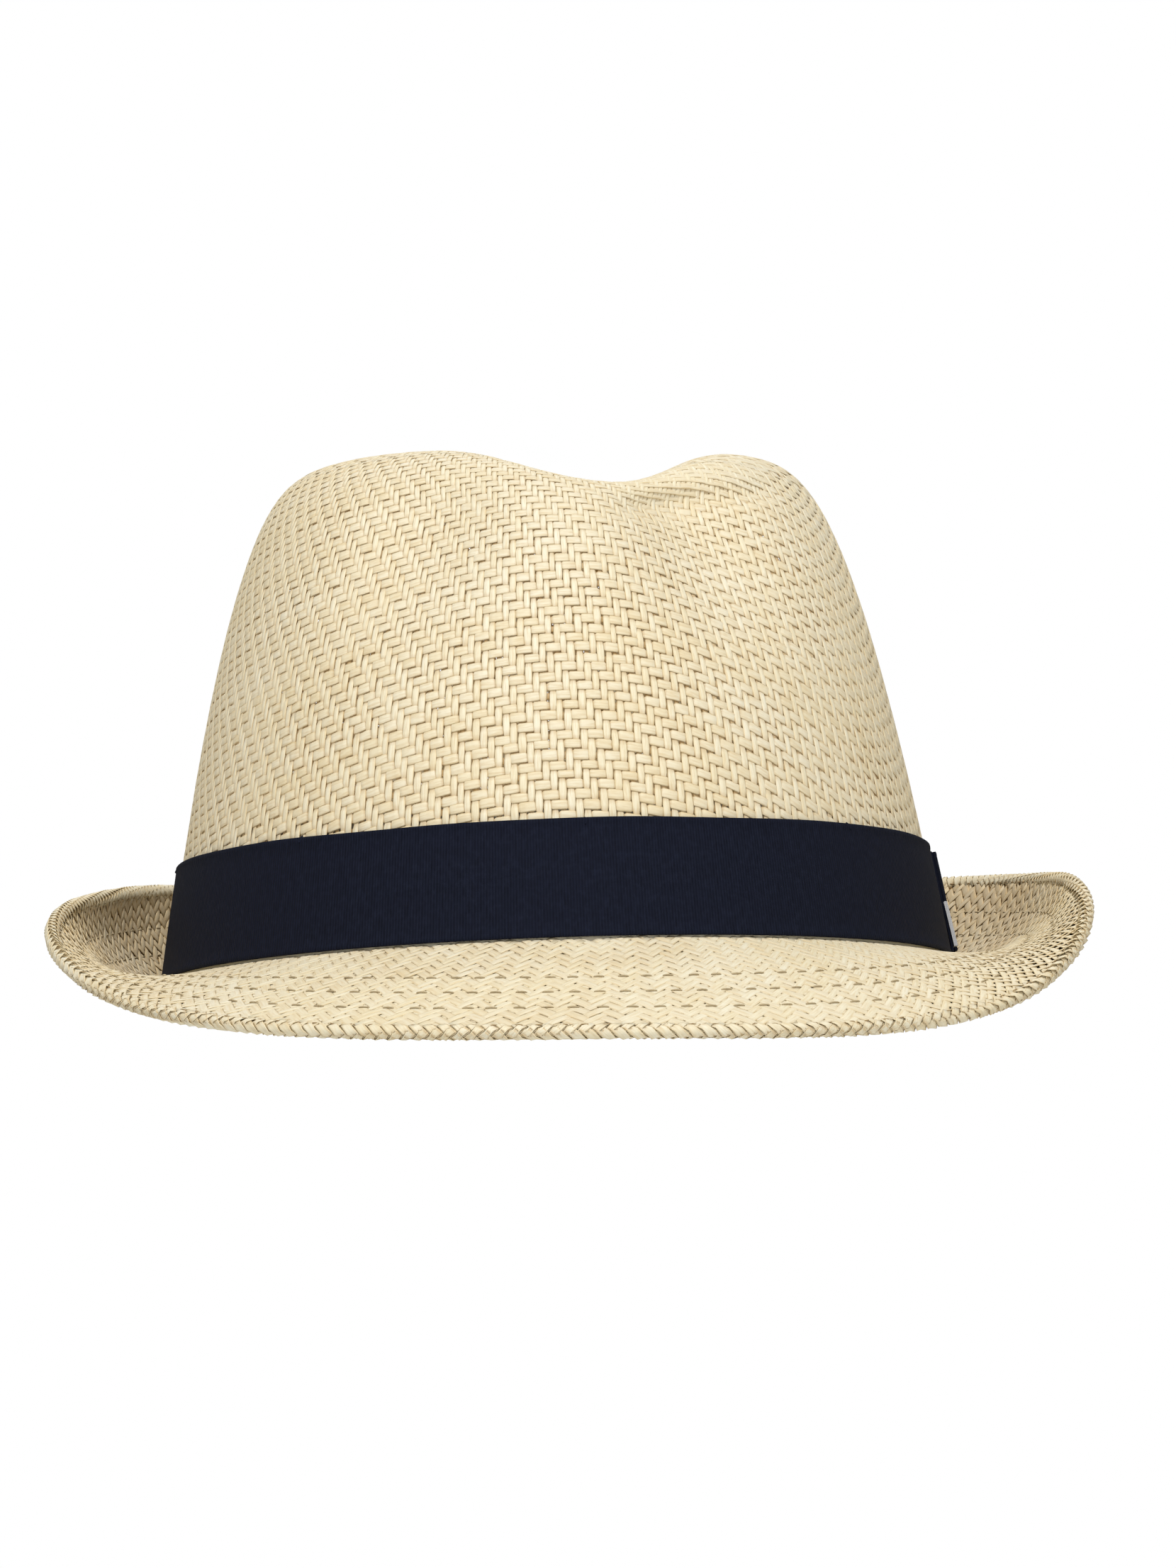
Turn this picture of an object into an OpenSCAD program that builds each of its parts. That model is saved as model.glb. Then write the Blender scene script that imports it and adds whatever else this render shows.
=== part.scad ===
// Woven straw fedora with a centre dent and front pinches, a short shaped brim and a ribbon band.
// Millimetres. The origin is the centre of the head opening, in the plane where crown meets brim.
// +Z is up through the crown, the front of the hat faces -Y and the wearer's left is +X.

/* [Head and crown] */
// Half the crown's width at the brim joint, outside the straw
crown_half_w = 82.5; // [80:0.5:86]
// Half the crown's length at the brim joint, outside the straw
crown_half_l = 102.5; // [100:0.5:106]
// Height of the crown above the brim joint, before it is dented
crown_h = 109.5; // [105:0.5:115]
// Part of its width that the wall loses on its way up
wall_taper_w = 0.21; // [0.18:0.01:0.26]
// Part of its length that the wall loses on its way up
wall_taper_l = 0.21; // [0.16:0.01:0.24]
// How much higher the front of the tip stands than its middle
tip_rise = 2; // [0:0.5:6]
// How much lower the wearer's left of the tip stands than its middle
tip_lean = 0.5; // [0:0.5:4]
// Thickness of the woven straw of the crown
straw_t = 1.2; // [1:0.1:1.4]

/* [Dent and pinches] */
// Depth of the centre dent in the middle of the tip
dent_depth = 16; // [10:1:18]
// Depth of the centre dent where it runs out at the front and back
dent_end_depth = 0.5; // [0.5:0.5:6]
// Half width of the centre dent
dent_half_w = 16.5; // [15:0.5:20]
// How far the dent lies to the wearer's left of the middle
dent_shift = 8; // [0:1:10]
// Distance of each front pinch from the middle, along the wall
pinch_x = 34; // [30:1:38]
// Height of the deepest point of the pinches
pinch_z = 92; // [88:1:94]
// Depth of the pinch on the wearer's right
pinch_depth_right = 6; // [3:0.5:8]
// Depth of the pinch on the wearer's left
pinch_depth_left = 9; // [5:0.5:10]

/* [Brim] */
// Width of the brim at the front
brim_w_front = 40; // [37:0.5:43]
// Width of the brim at the sides
brim_w_side = 31.5; // [30:0.5:35]
// Width of the brim at the back
brim_w_back = 40.5; // [37:0.5:43]
// Thickness of each of the brim's two straw layers
brim_layer_t = 1; // [0.8:0.05:1]
// Diameter of the wire in the brim's edge
wire_d = 1.2; // [1:0.1:1.3]

/* [Ribbon and sweatband] */
// Height of the ribbon band
ribbon_h = 24; // [20:1:28]
// Thickness of the ribbon
ribbon_t = 0.7; // [0.5:0.05:0.7]
// Height of the sweatband inside the crown
sweatband_h = 30; // [26:1:34]
// Thickness of the sweatband
sweatband_t = 0.8; // [0.6:0.05:1]
// Width of the care label
label_w = 22; // [16:1:24]
// Length of the care label, from its sewn edge down
label_l = 22; // [16:1:23]

/* [Hidden] */

straw = [0.90, 0.84, 0.67];
navy = [0.12, 0.13, 0.19];
thread = [0.85, 0.79, 0.62];

seg = 60;                  // steps round the hat
step = 360 / seg;
wall_rings = 12;           // rings up the crown's wall
tip_rings = 14;            // rings over its shoulder and tip
wall_top = 0.85;           // part of the height where the shoulder starts
shoulder = 2.3;            // how late the shoulder turns in
round_w = 11.5;            // squareness of the shoulder across the head
round_l = 5;               // squareness of the shoulder front to back
pinch_half_w = 20;
pinch_up = 9;              // reach of a pinch above its deepest point
pinch_down = 26;           // reach of a pinch below its deepest point
arc_r = 80;                // radius that turns an angle round the wall into an arc length
gap = 0.1;                 // gap between pieces that lie against each other

// Slope of the brim at its root and at its edge, and its width, at every 45 degrees from front to back
root_slope = [-27, -19, 1.5, 25, 10];
edge_slope = [-34, -22, 86, 76, 64];
curl_diff = -13;           // added to the edge's slope on the wearer's left, taken off it on the right
curl_twist = 3.4;          // the same between the front and the sides
curl_turn = 6.8;           // how much further forward the curl starts on the wearer's left
width_diff = 1.8;          // added to the brim's width on the wearer's left, taken off it on the right
brim_width = [brim_w_front, (brim_w_front + brim_w_side) / 2 + 0.5, brim_w_side,
  (brim_w_side + brim_w_back) / 2 + 0.5, brim_w_back];
brim_start = 0.4;          // gap from the crown's wall to the brim's middle surface
brim_rings = 7;
lining_t = 0.4;
layer_in = lining_t / 2 + gap;
layer_out = layer_in + brim_layer_t;
edge_back = 3.7;           // how far the layers stop short of the brim's edge
wire_back = 2.5;           // how far the wire's centre lies inside the brim's edge
braid_t = 0.6;
braid_leg = 6.5;           // how far the edge braid reaches back over the layers
braid_in = layer_out + 0.56;
braid_out = braid_in + braid_t;
thread_r = 0.2;
thread_gap = 0.35;         // gap between a row of stitches and the straw under it

ribbon_z = 1.6;            // lower edge of the ribbon
ribbon_off = 0.3;          // gap between crown and ribbon
ribbon_top = ribbon_z + ribbon_h;
ribbon_out = ribbon_off + ribbon_t;
bow_mid = 104;             // angle of the bow's middle from the front
bow_t = 0.5;
bow_z = 2.6;               // lower edge of the bow, clear of the brim's rise at the side
tail_half = 33;            // half length of the bow's tail piece
loop_half = 27;            // half length of the bow's loop
tail_off = ribbon_out + gap + bow_t / 2;
loop_in = tail_off + bow_t + gap;
loop_out = loop_in + 0.8;
keeper_half = 5.5;
keeper_out = loop_out + bow_t + 2 * gap;
band_off = -(straw_t + 0.7);          // outer face of the sweatband
band_in = band_off - sweatband_t;
piping_r = 1;
label_t = 0.3;
label_z = sweatband_h - 1.5;          // height of the label's sewn edge
bow_flare = 0.4;           // how far the bow's front lower corner stands off the wall
tag_h = 10;
tag_t = 0.25;
tag_in = tail_off + bow_t / 2 + gap + tag_t / 2;
tag_r = 0.3;               // half the distance between the tag's two leaves
tag_back = -loop_half - 1.8;
tag_front = -tail_half - 0.6;

// ---- small helpers ----
function unit(v) = v / norm(v);
function sinc(x) = abs(x) < 0.01 ? 1 : sin(x) * 180 / PI / x;
function smooth(x) = let (c = min(max(x, 0), 1)) c * c * (3 - 2 * c);
function flat(list) = [for (a = list) for (b = a) b];

// Smooth curve through five values that stand 45 degrees apart, the same on both sides of the hat
function round_hat(v, t) =
  let (k = abs((t % 360 + 540) % 360 - 180) / 45, i = min(floor(k), 3), f = k - i,
    p1 = v[i], p2 = v[i + 1], p0 = i > 0 ? v[i - 1] : v[1], p3 = i < 3 ? v[i + 2] : v[3])
  (2 * p1 + (p2 - p0) * f + (2 * p0 - 5 * p1 + 4 * p2 - p3) * f * f
    + (3 * p1 - p0 - 3 * p2 + p3) * f * f * f) / 2;

// ---- crown surface ----
// t is the angle from the front, level the part of the height, and g the part of the width left
function pinched(x, y, z, side, depth) =
  let (arc = atan2(x, -y) * PI / 180 * arc_r - side * pinch_x, dz = z - pinch_z,
    reach = dz > 0 ? pinch_up : pinch_down, r = max(norm([x, y]), 0.001),
    d = depth * exp(-pow(arc / pinch_half_w, 2) - pow(dz / reach, 2)))
  [x - d * x / r, y - d * y / r];

function crown_at(t, level, g) =
  let (x0 = crown_half_w * (1 - wall_taper_w * level) * g * sin(t),
    y0 = -crown_half_l * (1 - wall_taper_l * level) * pow(g, round_w / round_l) * cos(t),
    z0 = level * (crown_h - tip_rise * y0 / crown_half_l - tip_lean * x0 / crown_half_w),
    a = pinched(x0, y0, z0, -1, pinch_depth_right),
    b = pinched(a[0], a[1], z0, 1, pinch_depth_left),
    depth = dent_end_depth + (dent_depth - dent_end_depth) * exp(-pow(b[1] / 50, 4)),
    across = exp(-pow((b[0] - dent_shift) / dent_half_w, 2)))
  [b[0], b[1], z0 - depth * across * smooth((level - 0.72) / 0.2)];

function left_of(level) = pow(max(1 - pow(level, shoulder), 0), 1 / round_w);
function level_of(g) = pow(max(1 - pow(g, round_w), 0), 1 / shoulder);

// v runs from 0 at the brim joint through 1 at the shoulder's start to 2 at the middle of the tip
function crown_pt(t, v) = v < 1
  ? crown_at(t, wall_top * v, left_of(wall_top * v))
  : let (g = left_of(wall_top) * (2 - v)) crown_at(t, level_of(g), g);

function crown_normal(t, v) =
  let (e = 0.01, top = min(v + e, 1.999), low = max(v - e, 0))
  unit(cross(crown_pt(t + 0.5, v) - crown_pt(t - 0.5, v), crown_pt(t, top) - crown_pt(t, low)));

function crown_off(t, v, off) = crown_pt(t, v) + off * crown_normal(t, v);

// A point at height z on the wall, moved out by off
function wall(t, z, off) = crown_off(t, z / (wall_top * (crown_h + tip_rise * cos(t))), off);

// ---- brim surface ----
// w is the distance out from the root, along the brim, and off the distance above its middle surface
function brim_full(t) = round_hat(brim_width, t) + width_diff * sin(t);
function brim_end_slope(t) =
  round_hat(edge_slope, t + curl_turn * sin(t) * sin(t)) + curl_diff * sin(t) + curl_twist * sin(2 * t);
function brim_pt(t, w, off) =
  let (a = round_hat(root_slope, t), turn = (brim_end_slope(t) - a) * w / brim_full(t),
    chord = w * sinc(turn / 2),
    out = unit([crown_half_l * sin(t), -crown_half_w * cos(t), 0]),
    root = [(crown_half_w + brim_start) * sin(t), -(crown_half_l + brim_start) * cos(t), 0])
  root + out * (chord * cos(a + turn / 2) - off * sin(a + turn))
    + [0, 0, chord * sin(a + turn / 2) + off * cos(a + turn)];

// ---- solids from sections ----
// Each section is a closed list of points, its second half lying opposite its first. The solid runs
// through the sections, and back to the first when it closes, or else it ends in two caps.
module through(sections, closes = true) {
  n = len(sections);
  m = len(sections[0]);
  last = closes ? n - 1 : n - 2;
  sides = [for (i = [0:last]) for (j = [0:m - 1])
    let (a = i * m + j, b = i * m + (j + 1) % m, c = (i + 1) % n * m + j,
      d = (i + 1) % n * m + (j + 1) % m)
    // both halves are split along the same diagonal, so that faces side by side never cross
    each j < m / 2 ? [[a, b, c], [b, d, c]] : [[a, b, d], [a, d, c]]];
  end = (n - 1) * m;
  caps = closes ? [] : [for (j = [0:m / 2 - 2]) let (k = m - 1 - j)
    each [[j, k, j + 1], [j + 1, k, k - 1],
      end * [1, 1, 1] + [j, j + 1, k], end * [1, 1, 1] + [j + 1, k - 1, k]]];
  polyhedron(points = flat(sections), faces = concat(sides, caps), convexity = 8);
}

// A layer of the brim between two heights above its middle surface
module brim_layer(low, high) {
  ends = [for (i = [0:seg - 1]) brim_full(i * step) - edge_back];
  through([for (i = [0:seg - 1]) concat(
    [for (k = [0:brim_rings]) brim_pt(i * step, ends[i] * k / brim_rings, low)],
    [for (k = [brim_rings:-1:0]) brim_pt(i * step, ends[i] * k / brim_rings, high)])]);
}

// A thread or cord that runs round the brim, back from its edge, at a height above its middle surface
module brim_cord(back, off, r, sides, from = 0, to = 360, steps = seg, closes = true) {
  last = closes ? steps - 1 : steps;
  through([for (i = [0:last]) let (t = from + (to - from) * i / steps)
    [for (k = [0:sides - 1]) let (a = -360 * (k + 0.5) / sides)
      brim_pt(t, brim_full(t) - back + r * cos(a), off + r * sin(a))]], closes);
}

// A closed ring on the wall, between two offsets and two heights
module wall_ring(z_low, z_high, off_in, off_out, rings) {
  levels = [for (k = [0:rings]) z_low + (z_high - z_low) * k / rings];
  through([for (i = [0:seg - 1]) concat(
    [for (z = levels) wall(i * step, z, off_out)],
    [for (k = [rings:-1:0]) wall(i * step, levels[k], off_in)])]);
}

// A ribbon that stands on the wall along a path of [arc length from the bow's middle, offset]
function bow_angle(s) = bow_mid + s / arc_r / 1.4 * 180 / PI;
function bow_pt(p, z) = wall(bow_angle(p[0]), z,
  p[1] + bow_flare * smooth((-p[0] - 8) / 24) * (ribbon_top - z) / (ribbon_top - bow_z));
module bow_strip(path, z_low, z_high, t = bow_t) {
  n = len(path);
  through([for (i = [0:n - 1])
    let (ahead = path[min(i + 1, n - 1)] - path[max(i - 1, 0)], d = ahead / norm(ahead),
      p = path[i] + [d[1], -d[0]] * t / 2, q = path[i] - [d[1], -d[0]] * t / 2)
    [bow_pt(p, z_low), bow_pt(p, z_high), bow_pt(q, z_high), bow_pt(q, z_low)]], false);
}

// ---- pieces ----
// The triangles of one skin of the crown, whose rows of points start at first and end at the tip
function tri(a, b, c, way) = way ? [a, b, c] : [a, c, b];
function skin(rows, first, tip, way) = [for (k = [0:rows - 1]) for (i = [0:seg - 1])
  let (a = first + k * seg + i, b = first + k * seg + (i + 1) % seg)
  each k < rows - 1
    ? [tri(a, a + seg, b, way), tri(b, a + seg, b + seg, way)]
    : [tri(a, tip, b, way)]];

module crown_shell() color(straw) {
  rows = wall_rings + tip_rings;
  rows_v = [for (k = [0:rows - 1]) k < wall_rings ? k / wall_rings : 1 + (k - wall_rings) / tip_rings];
  outer = [for (v = rows_v) for (i = [0:seg - 1]) crown_pt(i * step, v)];
  inner = [for (v = rows_v) for (i = [0:seg - 1]) crown_off(i * step, v, -straw_t)];
  pole = crown_pt(0, 2);
  n = rows * seg;
  foot = [for (i = [0:seg - 1]) let (j = (i + 1) % seg) each [[i, j, n + i], [j, n + j, n + i]]];
  polyhedron(points = concat(outer, inner, [pole, pole - [0, 0, straw_t]]),
    faces = concat(skin(rows, 0, 2 * n, true), skin(rows, n, 2 * n + 1, false), foot),
    convexity = 8);
}

module brim_upper() color(straw) brim_layer(layer_in, layer_out);
module brim_interlining() color([0.93, 0.92, 0.88]) brim_layer(-lining_t / 2, lining_t / 2);
module brim_under() color(straw) brim_layer(-layer_out, -layer_in);

module edge_wire() color([0.72, 0.73, 0.75])
  brim_cord(wire_back, 0, wire_d / 2, 6, from = -179.7, to = 179.7, closes = false);

// Sleeve crimped over the two ends of the wire, at the back, open along a slit
module wire_joiner() color([0.80, 0.80, 0.78]) {
  inside = wire_d / 2 + 0.3;
  outside = wire_d / 2 + 0.5;
  around = [for (k = [0:8]) 20 + 40 * k];
  through([for (t = [176:2:184]) let (full = brim_full(t)) concat(
    [for (a = around) brim_pt(t, full - wire_back + outside * cos(a), outside * sin(a))],
    [for (k = [8:-1:0]) let (a = around[k])
      brim_pt(t, full - wire_back + inside * cos(a), inside * sin(a))])], false);
}

// Straw strip folded over the brim's edge, round the wire
module edge_braid() color(straw) {
  section = [[braid_leg, braid_out], [2, braid_out], [0.5, braid_out * 0.6], [0, 0],
    [0.5, -braid_out * 0.6], [2, -braid_out], [braid_leg, -braid_out], [braid_leg, -braid_in],
    [wire_back - 1.15, -braid_in], [wire_back - 1.3, 0], [wire_back - 1.15, braid_in],
    [braid_leg, braid_in]];
  through([for (i = [0:seg - 1]) let (t = i * step, full = brim_full(t))
    [for (k = [len(section) - 1:-1:0]) brim_pt(t, full - section[k][0], section[k][1])]]);
}
module edge_stitch() color(thread) brim_cord(4.6, braid_out + thread_gap + thread_r, thread_r, 4);
module stitch_row_outer() color(thread) brim_cord(9.5, layer_out + thread_gap + thread_r, thread_r, 4);
module stitch_row_middle() color(thread) brim_cord(16, layer_out + thread_gap + thread_r, thread_r, 4);
module stitch_row_inner() color(thread) brim_cord(22.5, layer_out + thread_gap + thread_r, thread_r, 4);

// Seam that holds crown, brim and sweatband together, inside the crown
module joint_stitch() color(thread) {
  z_mid = 3;
  off = -(straw_t + gap + thread_r);
  through([for (i = [0:seg - 1]) [for (k = [0:3])
    wall(i * step, z_mid + thread_r * cos(90 * k), off + thread_r * sin(90 * k))]]);
}

module sweatband() color([0.87, 0.86, 0.82]) {
  rings = 3;
  levels = [for (k = [0:rings]) 0.5 + (sweatband_h - 0.5) * k / rings];
  butt = 0.3;              // half the angle between the band's two ends, at the back
  through([for (i = [0:seg]) let (t = -180 + butt + (360 - 2 * butt) * i / seg) concat(
    [for (z = levels) wall(t, z, band_off)],
    [for (k = [rings:-1:0]) wall(t, levels[k], band_in)])], false);
}
module sweatband_piping() color([0.80, 0.79, 0.75])
  through([for (i = [0:seg - 1]) [for (k = [0:5])
    wall(i * step, 0.5, band_off - 0.4) + [0, 0, -piping_r - gap]
      + piping_r * (cos(60 * k) * wall_out(i * step) + [0, 0, sin(60 * k)])]]);
function wall_out(t) = unit([crown_half_l * sin(t), -crown_half_w * cos(t), 0]);

// Tape behind the place where the band's two ends meet
module sweatband_join_tape() color([0.92, 0.91, 0.88]) {
  tape_in = -(straw_t + 2 * gap + 0.3);
  through([for (i = [0:4]) let (t = 177 + 1.5 * i)
    [wall(t, 5, tape_in), wall(t, 5, tape_in + 0.3), wall(t, sweatband_h - 3, tape_in + 0.3),
      wall(t, sweatband_h - 3, tape_in)]], false);
}

// Blank label that hangs from its sewn edge inside the back of the band
label_y = wall(180, label_z, band_in)[1] - 1.7;
module care_label() color([0.96, 0.96, 0.95])
  translate([-label_w / 2, label_y - label_t / 2, label_z - label_l])
    cube([label_w, label_t, label_l]);
module label_stitch() color(thread)
  translate([0, label_y + label_t / 2 + 0.15 + thread_r, label_z - 0.6])
    rotate([0, 90, 0]) cylinder(h = label_w - 4, r = thread_r, center = true, $fn = 24);

module ribbon_band() color(navy) wall_ring(ribbon_z, ribbon_top, ribbon_off, ribbon_out, 3);

module bow_tail() color(navy)
  bow_strip([for (k = [-6:6]) [tail_half * k / 6, tail_off]], bow_z + 0.6, ribbon_top - 0.6);

// One ribbon folded into a flat loop, whose ends meet behind the keeper
module bow_loop() color(navy) {
  r = (loop_out - loop_in) / 2;
  mid = (loop_out + loop_in) / 2;
  path = concat(
    [for (k = [0:4]) [0.4 + (loop_half - 0.4) * k / 4, loop_in]],
    [for (a = [-60:30:60]) [loop_half + r * cos(a), mid + r * sin(a)]],
    [for (k = [5:-1:-5]) [loop_half * k / 5, loop_out]],
    [for (a = [120:30:240]) [-loop_half + r * cos(a), mid + r * sin(a)]],
    [for (k = [4:-1:0]) [-0.4 - (loop_half - 0.4) * k / 4, loop_in]]);
  bow_strip(path, bow_z + 0.8, ribbon_top - 1);
}

// Short ribbon wrapped over the middle of the bow, tucked in above and below it
module bow_keeper() color(navy) {
  low = bow_z;
  high = ribbon_top + 0.2;
  in = ribbon_out + 2 * gap;
  face = keeper_out + bow_t;
  outline = [[in, high], [face, high], [face, low], [in, low], [in, low + bow_t],
    [keeper_out, low + bow_t], [keeper_out, high - bow_t], [in, high - bow_t]];
  // each wall of the wrap is a strip of its own, so that the ends close flat
  for (c = [[0, 1, 6, 7], [1, 2, 5, 6], [2, 3, 4, 5]])
    through([for (i = [0:2]) let (t = bow_angle(keeper_half * (i - 1)))
      [for (k = [3:-1:0]) wall(t, outline[c[k]][1], outline[c[k]][0])]], false);
}

// Small hand stitches that hold the ribbon's upper edge to the crown
module ribbon_tacks() color(navy)
  for (t = [0, 45, 158, 202, 270, 315]) {
    a = wall(t, ribbon_top - 1.2, ribbon_out + gap + thread_r);
    b = wall(t, ribbon_top + 1.2, ribbon_out + gap + thread_r);
    d = b - a;
    translate(a) rotate([0, acos(d[2] / norm(d)), atan2(d[1], d[0])])
      cylinder(h = norm(d), r = thread_r, $fn = 16);
  }

// Blank woven tag, folded in two, against the front edge of the bow
module side_tag() color([0.72, 0.73, 0.75])
  bow_strip([[tag_back, tag_in], [tag_front, tag_in], [tag_front - tag_r, tag_in + tag_r],
    [tag_front, tag_in + 2 * tag_r], [tag_back, tag_in + 2 * tag_r]],
    bow_z + 1.5, bow_z + 1.5 + tag_h, tag_t);

crown_shell();
brim_upper();
brim_interlining();
brim_under();
edge_wire();
wire_joiner();
edge_braid();
edge_stitch();
stitch_row_outer();
stitch_row_middle();
stitch_row_inner();
joint_stitch();
sweatband();
sweatband_piping();
sweatband_join_tape();
care_label();
label_stitch();
ribbon_band();
bow_tail();
bow_loop();
bow_keeper();
ribbon_tacks();
side_tag();
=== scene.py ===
"""Straw fedora: woven crown and brim, ribbon band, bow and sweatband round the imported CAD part."""

import math

import bpy
import numpy as np
from mathutils import Matrix, Vector


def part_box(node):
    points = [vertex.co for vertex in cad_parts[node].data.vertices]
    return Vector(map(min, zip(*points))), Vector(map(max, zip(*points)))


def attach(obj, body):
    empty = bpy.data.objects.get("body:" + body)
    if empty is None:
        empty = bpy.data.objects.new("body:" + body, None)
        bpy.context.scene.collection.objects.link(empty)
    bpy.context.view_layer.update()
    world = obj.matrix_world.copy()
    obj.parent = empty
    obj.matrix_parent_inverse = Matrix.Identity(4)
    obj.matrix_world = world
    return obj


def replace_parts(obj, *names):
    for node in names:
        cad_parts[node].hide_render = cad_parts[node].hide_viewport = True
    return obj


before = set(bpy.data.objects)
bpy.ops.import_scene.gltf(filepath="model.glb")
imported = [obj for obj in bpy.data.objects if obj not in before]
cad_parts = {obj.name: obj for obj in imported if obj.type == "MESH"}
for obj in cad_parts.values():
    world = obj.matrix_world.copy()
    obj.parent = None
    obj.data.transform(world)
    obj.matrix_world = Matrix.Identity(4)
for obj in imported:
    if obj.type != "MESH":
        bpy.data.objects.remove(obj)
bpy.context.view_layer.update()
rng = np.random.default_rng(11)

MM = 0.001
TAU = 2 * math.pi
scene = bpy.context.scene

# ---- camera, at the photograph's viewing angle ----
AZIMUTH, ELEVATION, ROLL = math.radians(-4.0), math.radians(-3.8), math.radians(1.8)
DISTANCE = 2.0
FOCAL_PX = 13400
IMAGE_W, IMAGE_H = 1659, 2212
AIM_RIGHT, AIM_UP = 0.0067, 0.0412


def make_camera():
    back = Vector((math.sin(AZIMUTH) * math.cos(ELEVATION),
                   -math.cos(AZIMUTH) * math.cos(ELEVATION), math.sin(ELEVATION)))
    level = Vector((math.cos(AZIMUTH), math.sin(AZIMUTH), 0))
    up = back.cross(level)
    right = level * math.cos(ROLL) - up * math.sin(ROLL)
    top = back.cross(right)
    place = back * DISTANCE
    behind = (place - right * AIM_RIGHT - top * AIM_UP).normalized()
    across = (right - behind * right.dot(behind)).normalized()
    upward = behind.cross(across)
    data = bpy.data.cameras.new("camera")
    data.sensor_width = 36
    data.lens = data.sensor_width * FOCAL_PX / max(IMAGE_W, IMAGE_H)
    data.clip_start, data.clip_end = 0.05, 50
    cam = bpy.data.objects.new("camera", data)
    turn = Matrix((across, upward, behind)).transposed()
    cam.matrix_world = Matrix.Translation(place) @ turn.to_4x4()
    scene.collection.objects.link(cam)
    scene.camera = cam


make_camera()

# ---- the hat's shape, in millimetres, as in part.scad ----
CROWN_HALF_W, CROWN_HALF_L, CROWN_H = 82.5, 102.5, 109.5
TAPER_W, TAPER_L = 0.21, 0.21
TIP_RISE, TIP_LEAN = 2, 0.5
DENT_DEPTH, DENT_END_DEPTH, DENT_HALF_W, DENT_SHIFT = 16, 0.5, 16.5, 8
PINCH_X, PINCH_Z, PINCH_RIGHT, PINCH_LEFT = 34, 92, 6, 9
PINCH_HALF_W, PINCH_UP, PINCH_DOWN, ARC_R = 20, 9, 26, 80
WALL_TOP, SHOULDER, ROUND_W, ROUND_L = 0.85, 2.3, 11.5, 5
LONG_ROUND = ROUND_W / ROUND_L
WIDTH_FRONT, WIDTH_SIDE, WIDTH_BACK = 40, 31.5, 40.5
BRIM_WIDTH = [WIDTH_FRONT, (WIDTH_FRONT + WIDTH_SIDE) / 2 + 0.5, WIDTH_SIDE,
              (WIDTH_SIDE + WIDTH_BACK) / 2 + 0.5, WIDTH_BACK]
ROOT_SLOPE = [-27, -19, 1.5, 25, 10]
EDGE_SLOPE = [-34, -22, 86, 76, 64]
CURL_DIFF, CURL_TWIST, CURL_TURN, WIDTH_DIFF, BRIM_START = -13, 3.4, 6.8, 1.8, 0.4
ROW_BACKS = [9.5, 16, 22.5]
RIBBON_Z, RIBBON_H, RIBBON_OUT = 1.6, 24, 1.0
RIBBON_TOP = RIBBON_Z + RIBBON_H
BOW_MID = math.radians(104)
BOW_Z, BOW_T, BOW_FLARE = 2.6, 0.5, 0.4
TAIL_HALF, LOOP_HALF, KEEPER_HALF = 33, 27, 5.5
TAG_T, TAG_H, TAG_OPEN = 0.25, 10, 0.35
SWEAT_LOW, SWEAT_TOP, BAND_OFF, BAND_IN = 0.5, 30, -1.9, -2.7


def unit(v):
    return v / np.maximum(np.linalg.norm(v, axis=-1, keepdims=True), 1e-12)


def smooth(x):
    c = np.clip(x, 0, 1)
    return c * c * (3 - 2 * c)


def vec(*parts):
    return np.stack(np.broadcast_arrays(*parts), axis=-1)


def round_hat(values, t):
    """A smooth curve through five values that stand 45 degrees apart, alike on both sides."""
    k = np.abs((np.degrees(t) + 180) % 360 - 180) / 45
    i = np.minimum(k.astype(int), 3)
    f = k - i
    v = np.array([values[1], *values, values[3]], float)
    p0, p1, p2, p3 = v[i], v[i + 1], v[i + 2], v[i + 3]
    return (2 * p1 + (p2 - p0) * f + (2 * p0 - 5 * p1 + 4 * p2 - p3) * f ** 2
            + (3 * p1 - p0 - 3 * p2 + p3) * f ** 3) / 2


def left_of(level):
    return np.maximum(1 - np.sign(level) * np.abs(level) ** SHOULDER, 0) ** (1 / ROUND_W)


def level_of(g):
    return np.maximum(1 - g ** ROUND_W, 0) ** (1 / SHOULDER)


def pinched(x, y, z, side, depth):
    arc = np.arctan2(x, -y) * ARC_R - side * PINCH_X
    dz = z - PINCH_Z
    reach = np.where(dz > 0, PINCH_UP, PINCH_DOWN)
    d = depth * np.exp(-(arc / PINCH_HALF_W) ** 2 - (dz / reach) ** 2)
    r = np.maximum(np.hypot(x, y), 0.001)
    return x - d * x / r, y - d * y / r


def crown_level(v):
    """Part of the height and part of the width left, at v: 0 the brim joint, 1 the shoulder, 2 the tip."""
    low = WALL_TOP * np.minimum(v, 1)
    g_low = left_of(low)
    g_high = left_of(WALL_TOP) * np.clip(2 - v, 0, 1)
    return np.where(v < 1, low, level_of(g_high)), np.where(v < 1, g_low, g_high)


def half_sizes(level, g):
    """Half the unpinched crown's width and length, from crown_level's height and width."""
    return CROWN_HALF_W * (1 - TAPER_W * level) * g, CROWN_HALF_L * (1 - TAPER_L * level) * g ** LONG_ROUND


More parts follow.
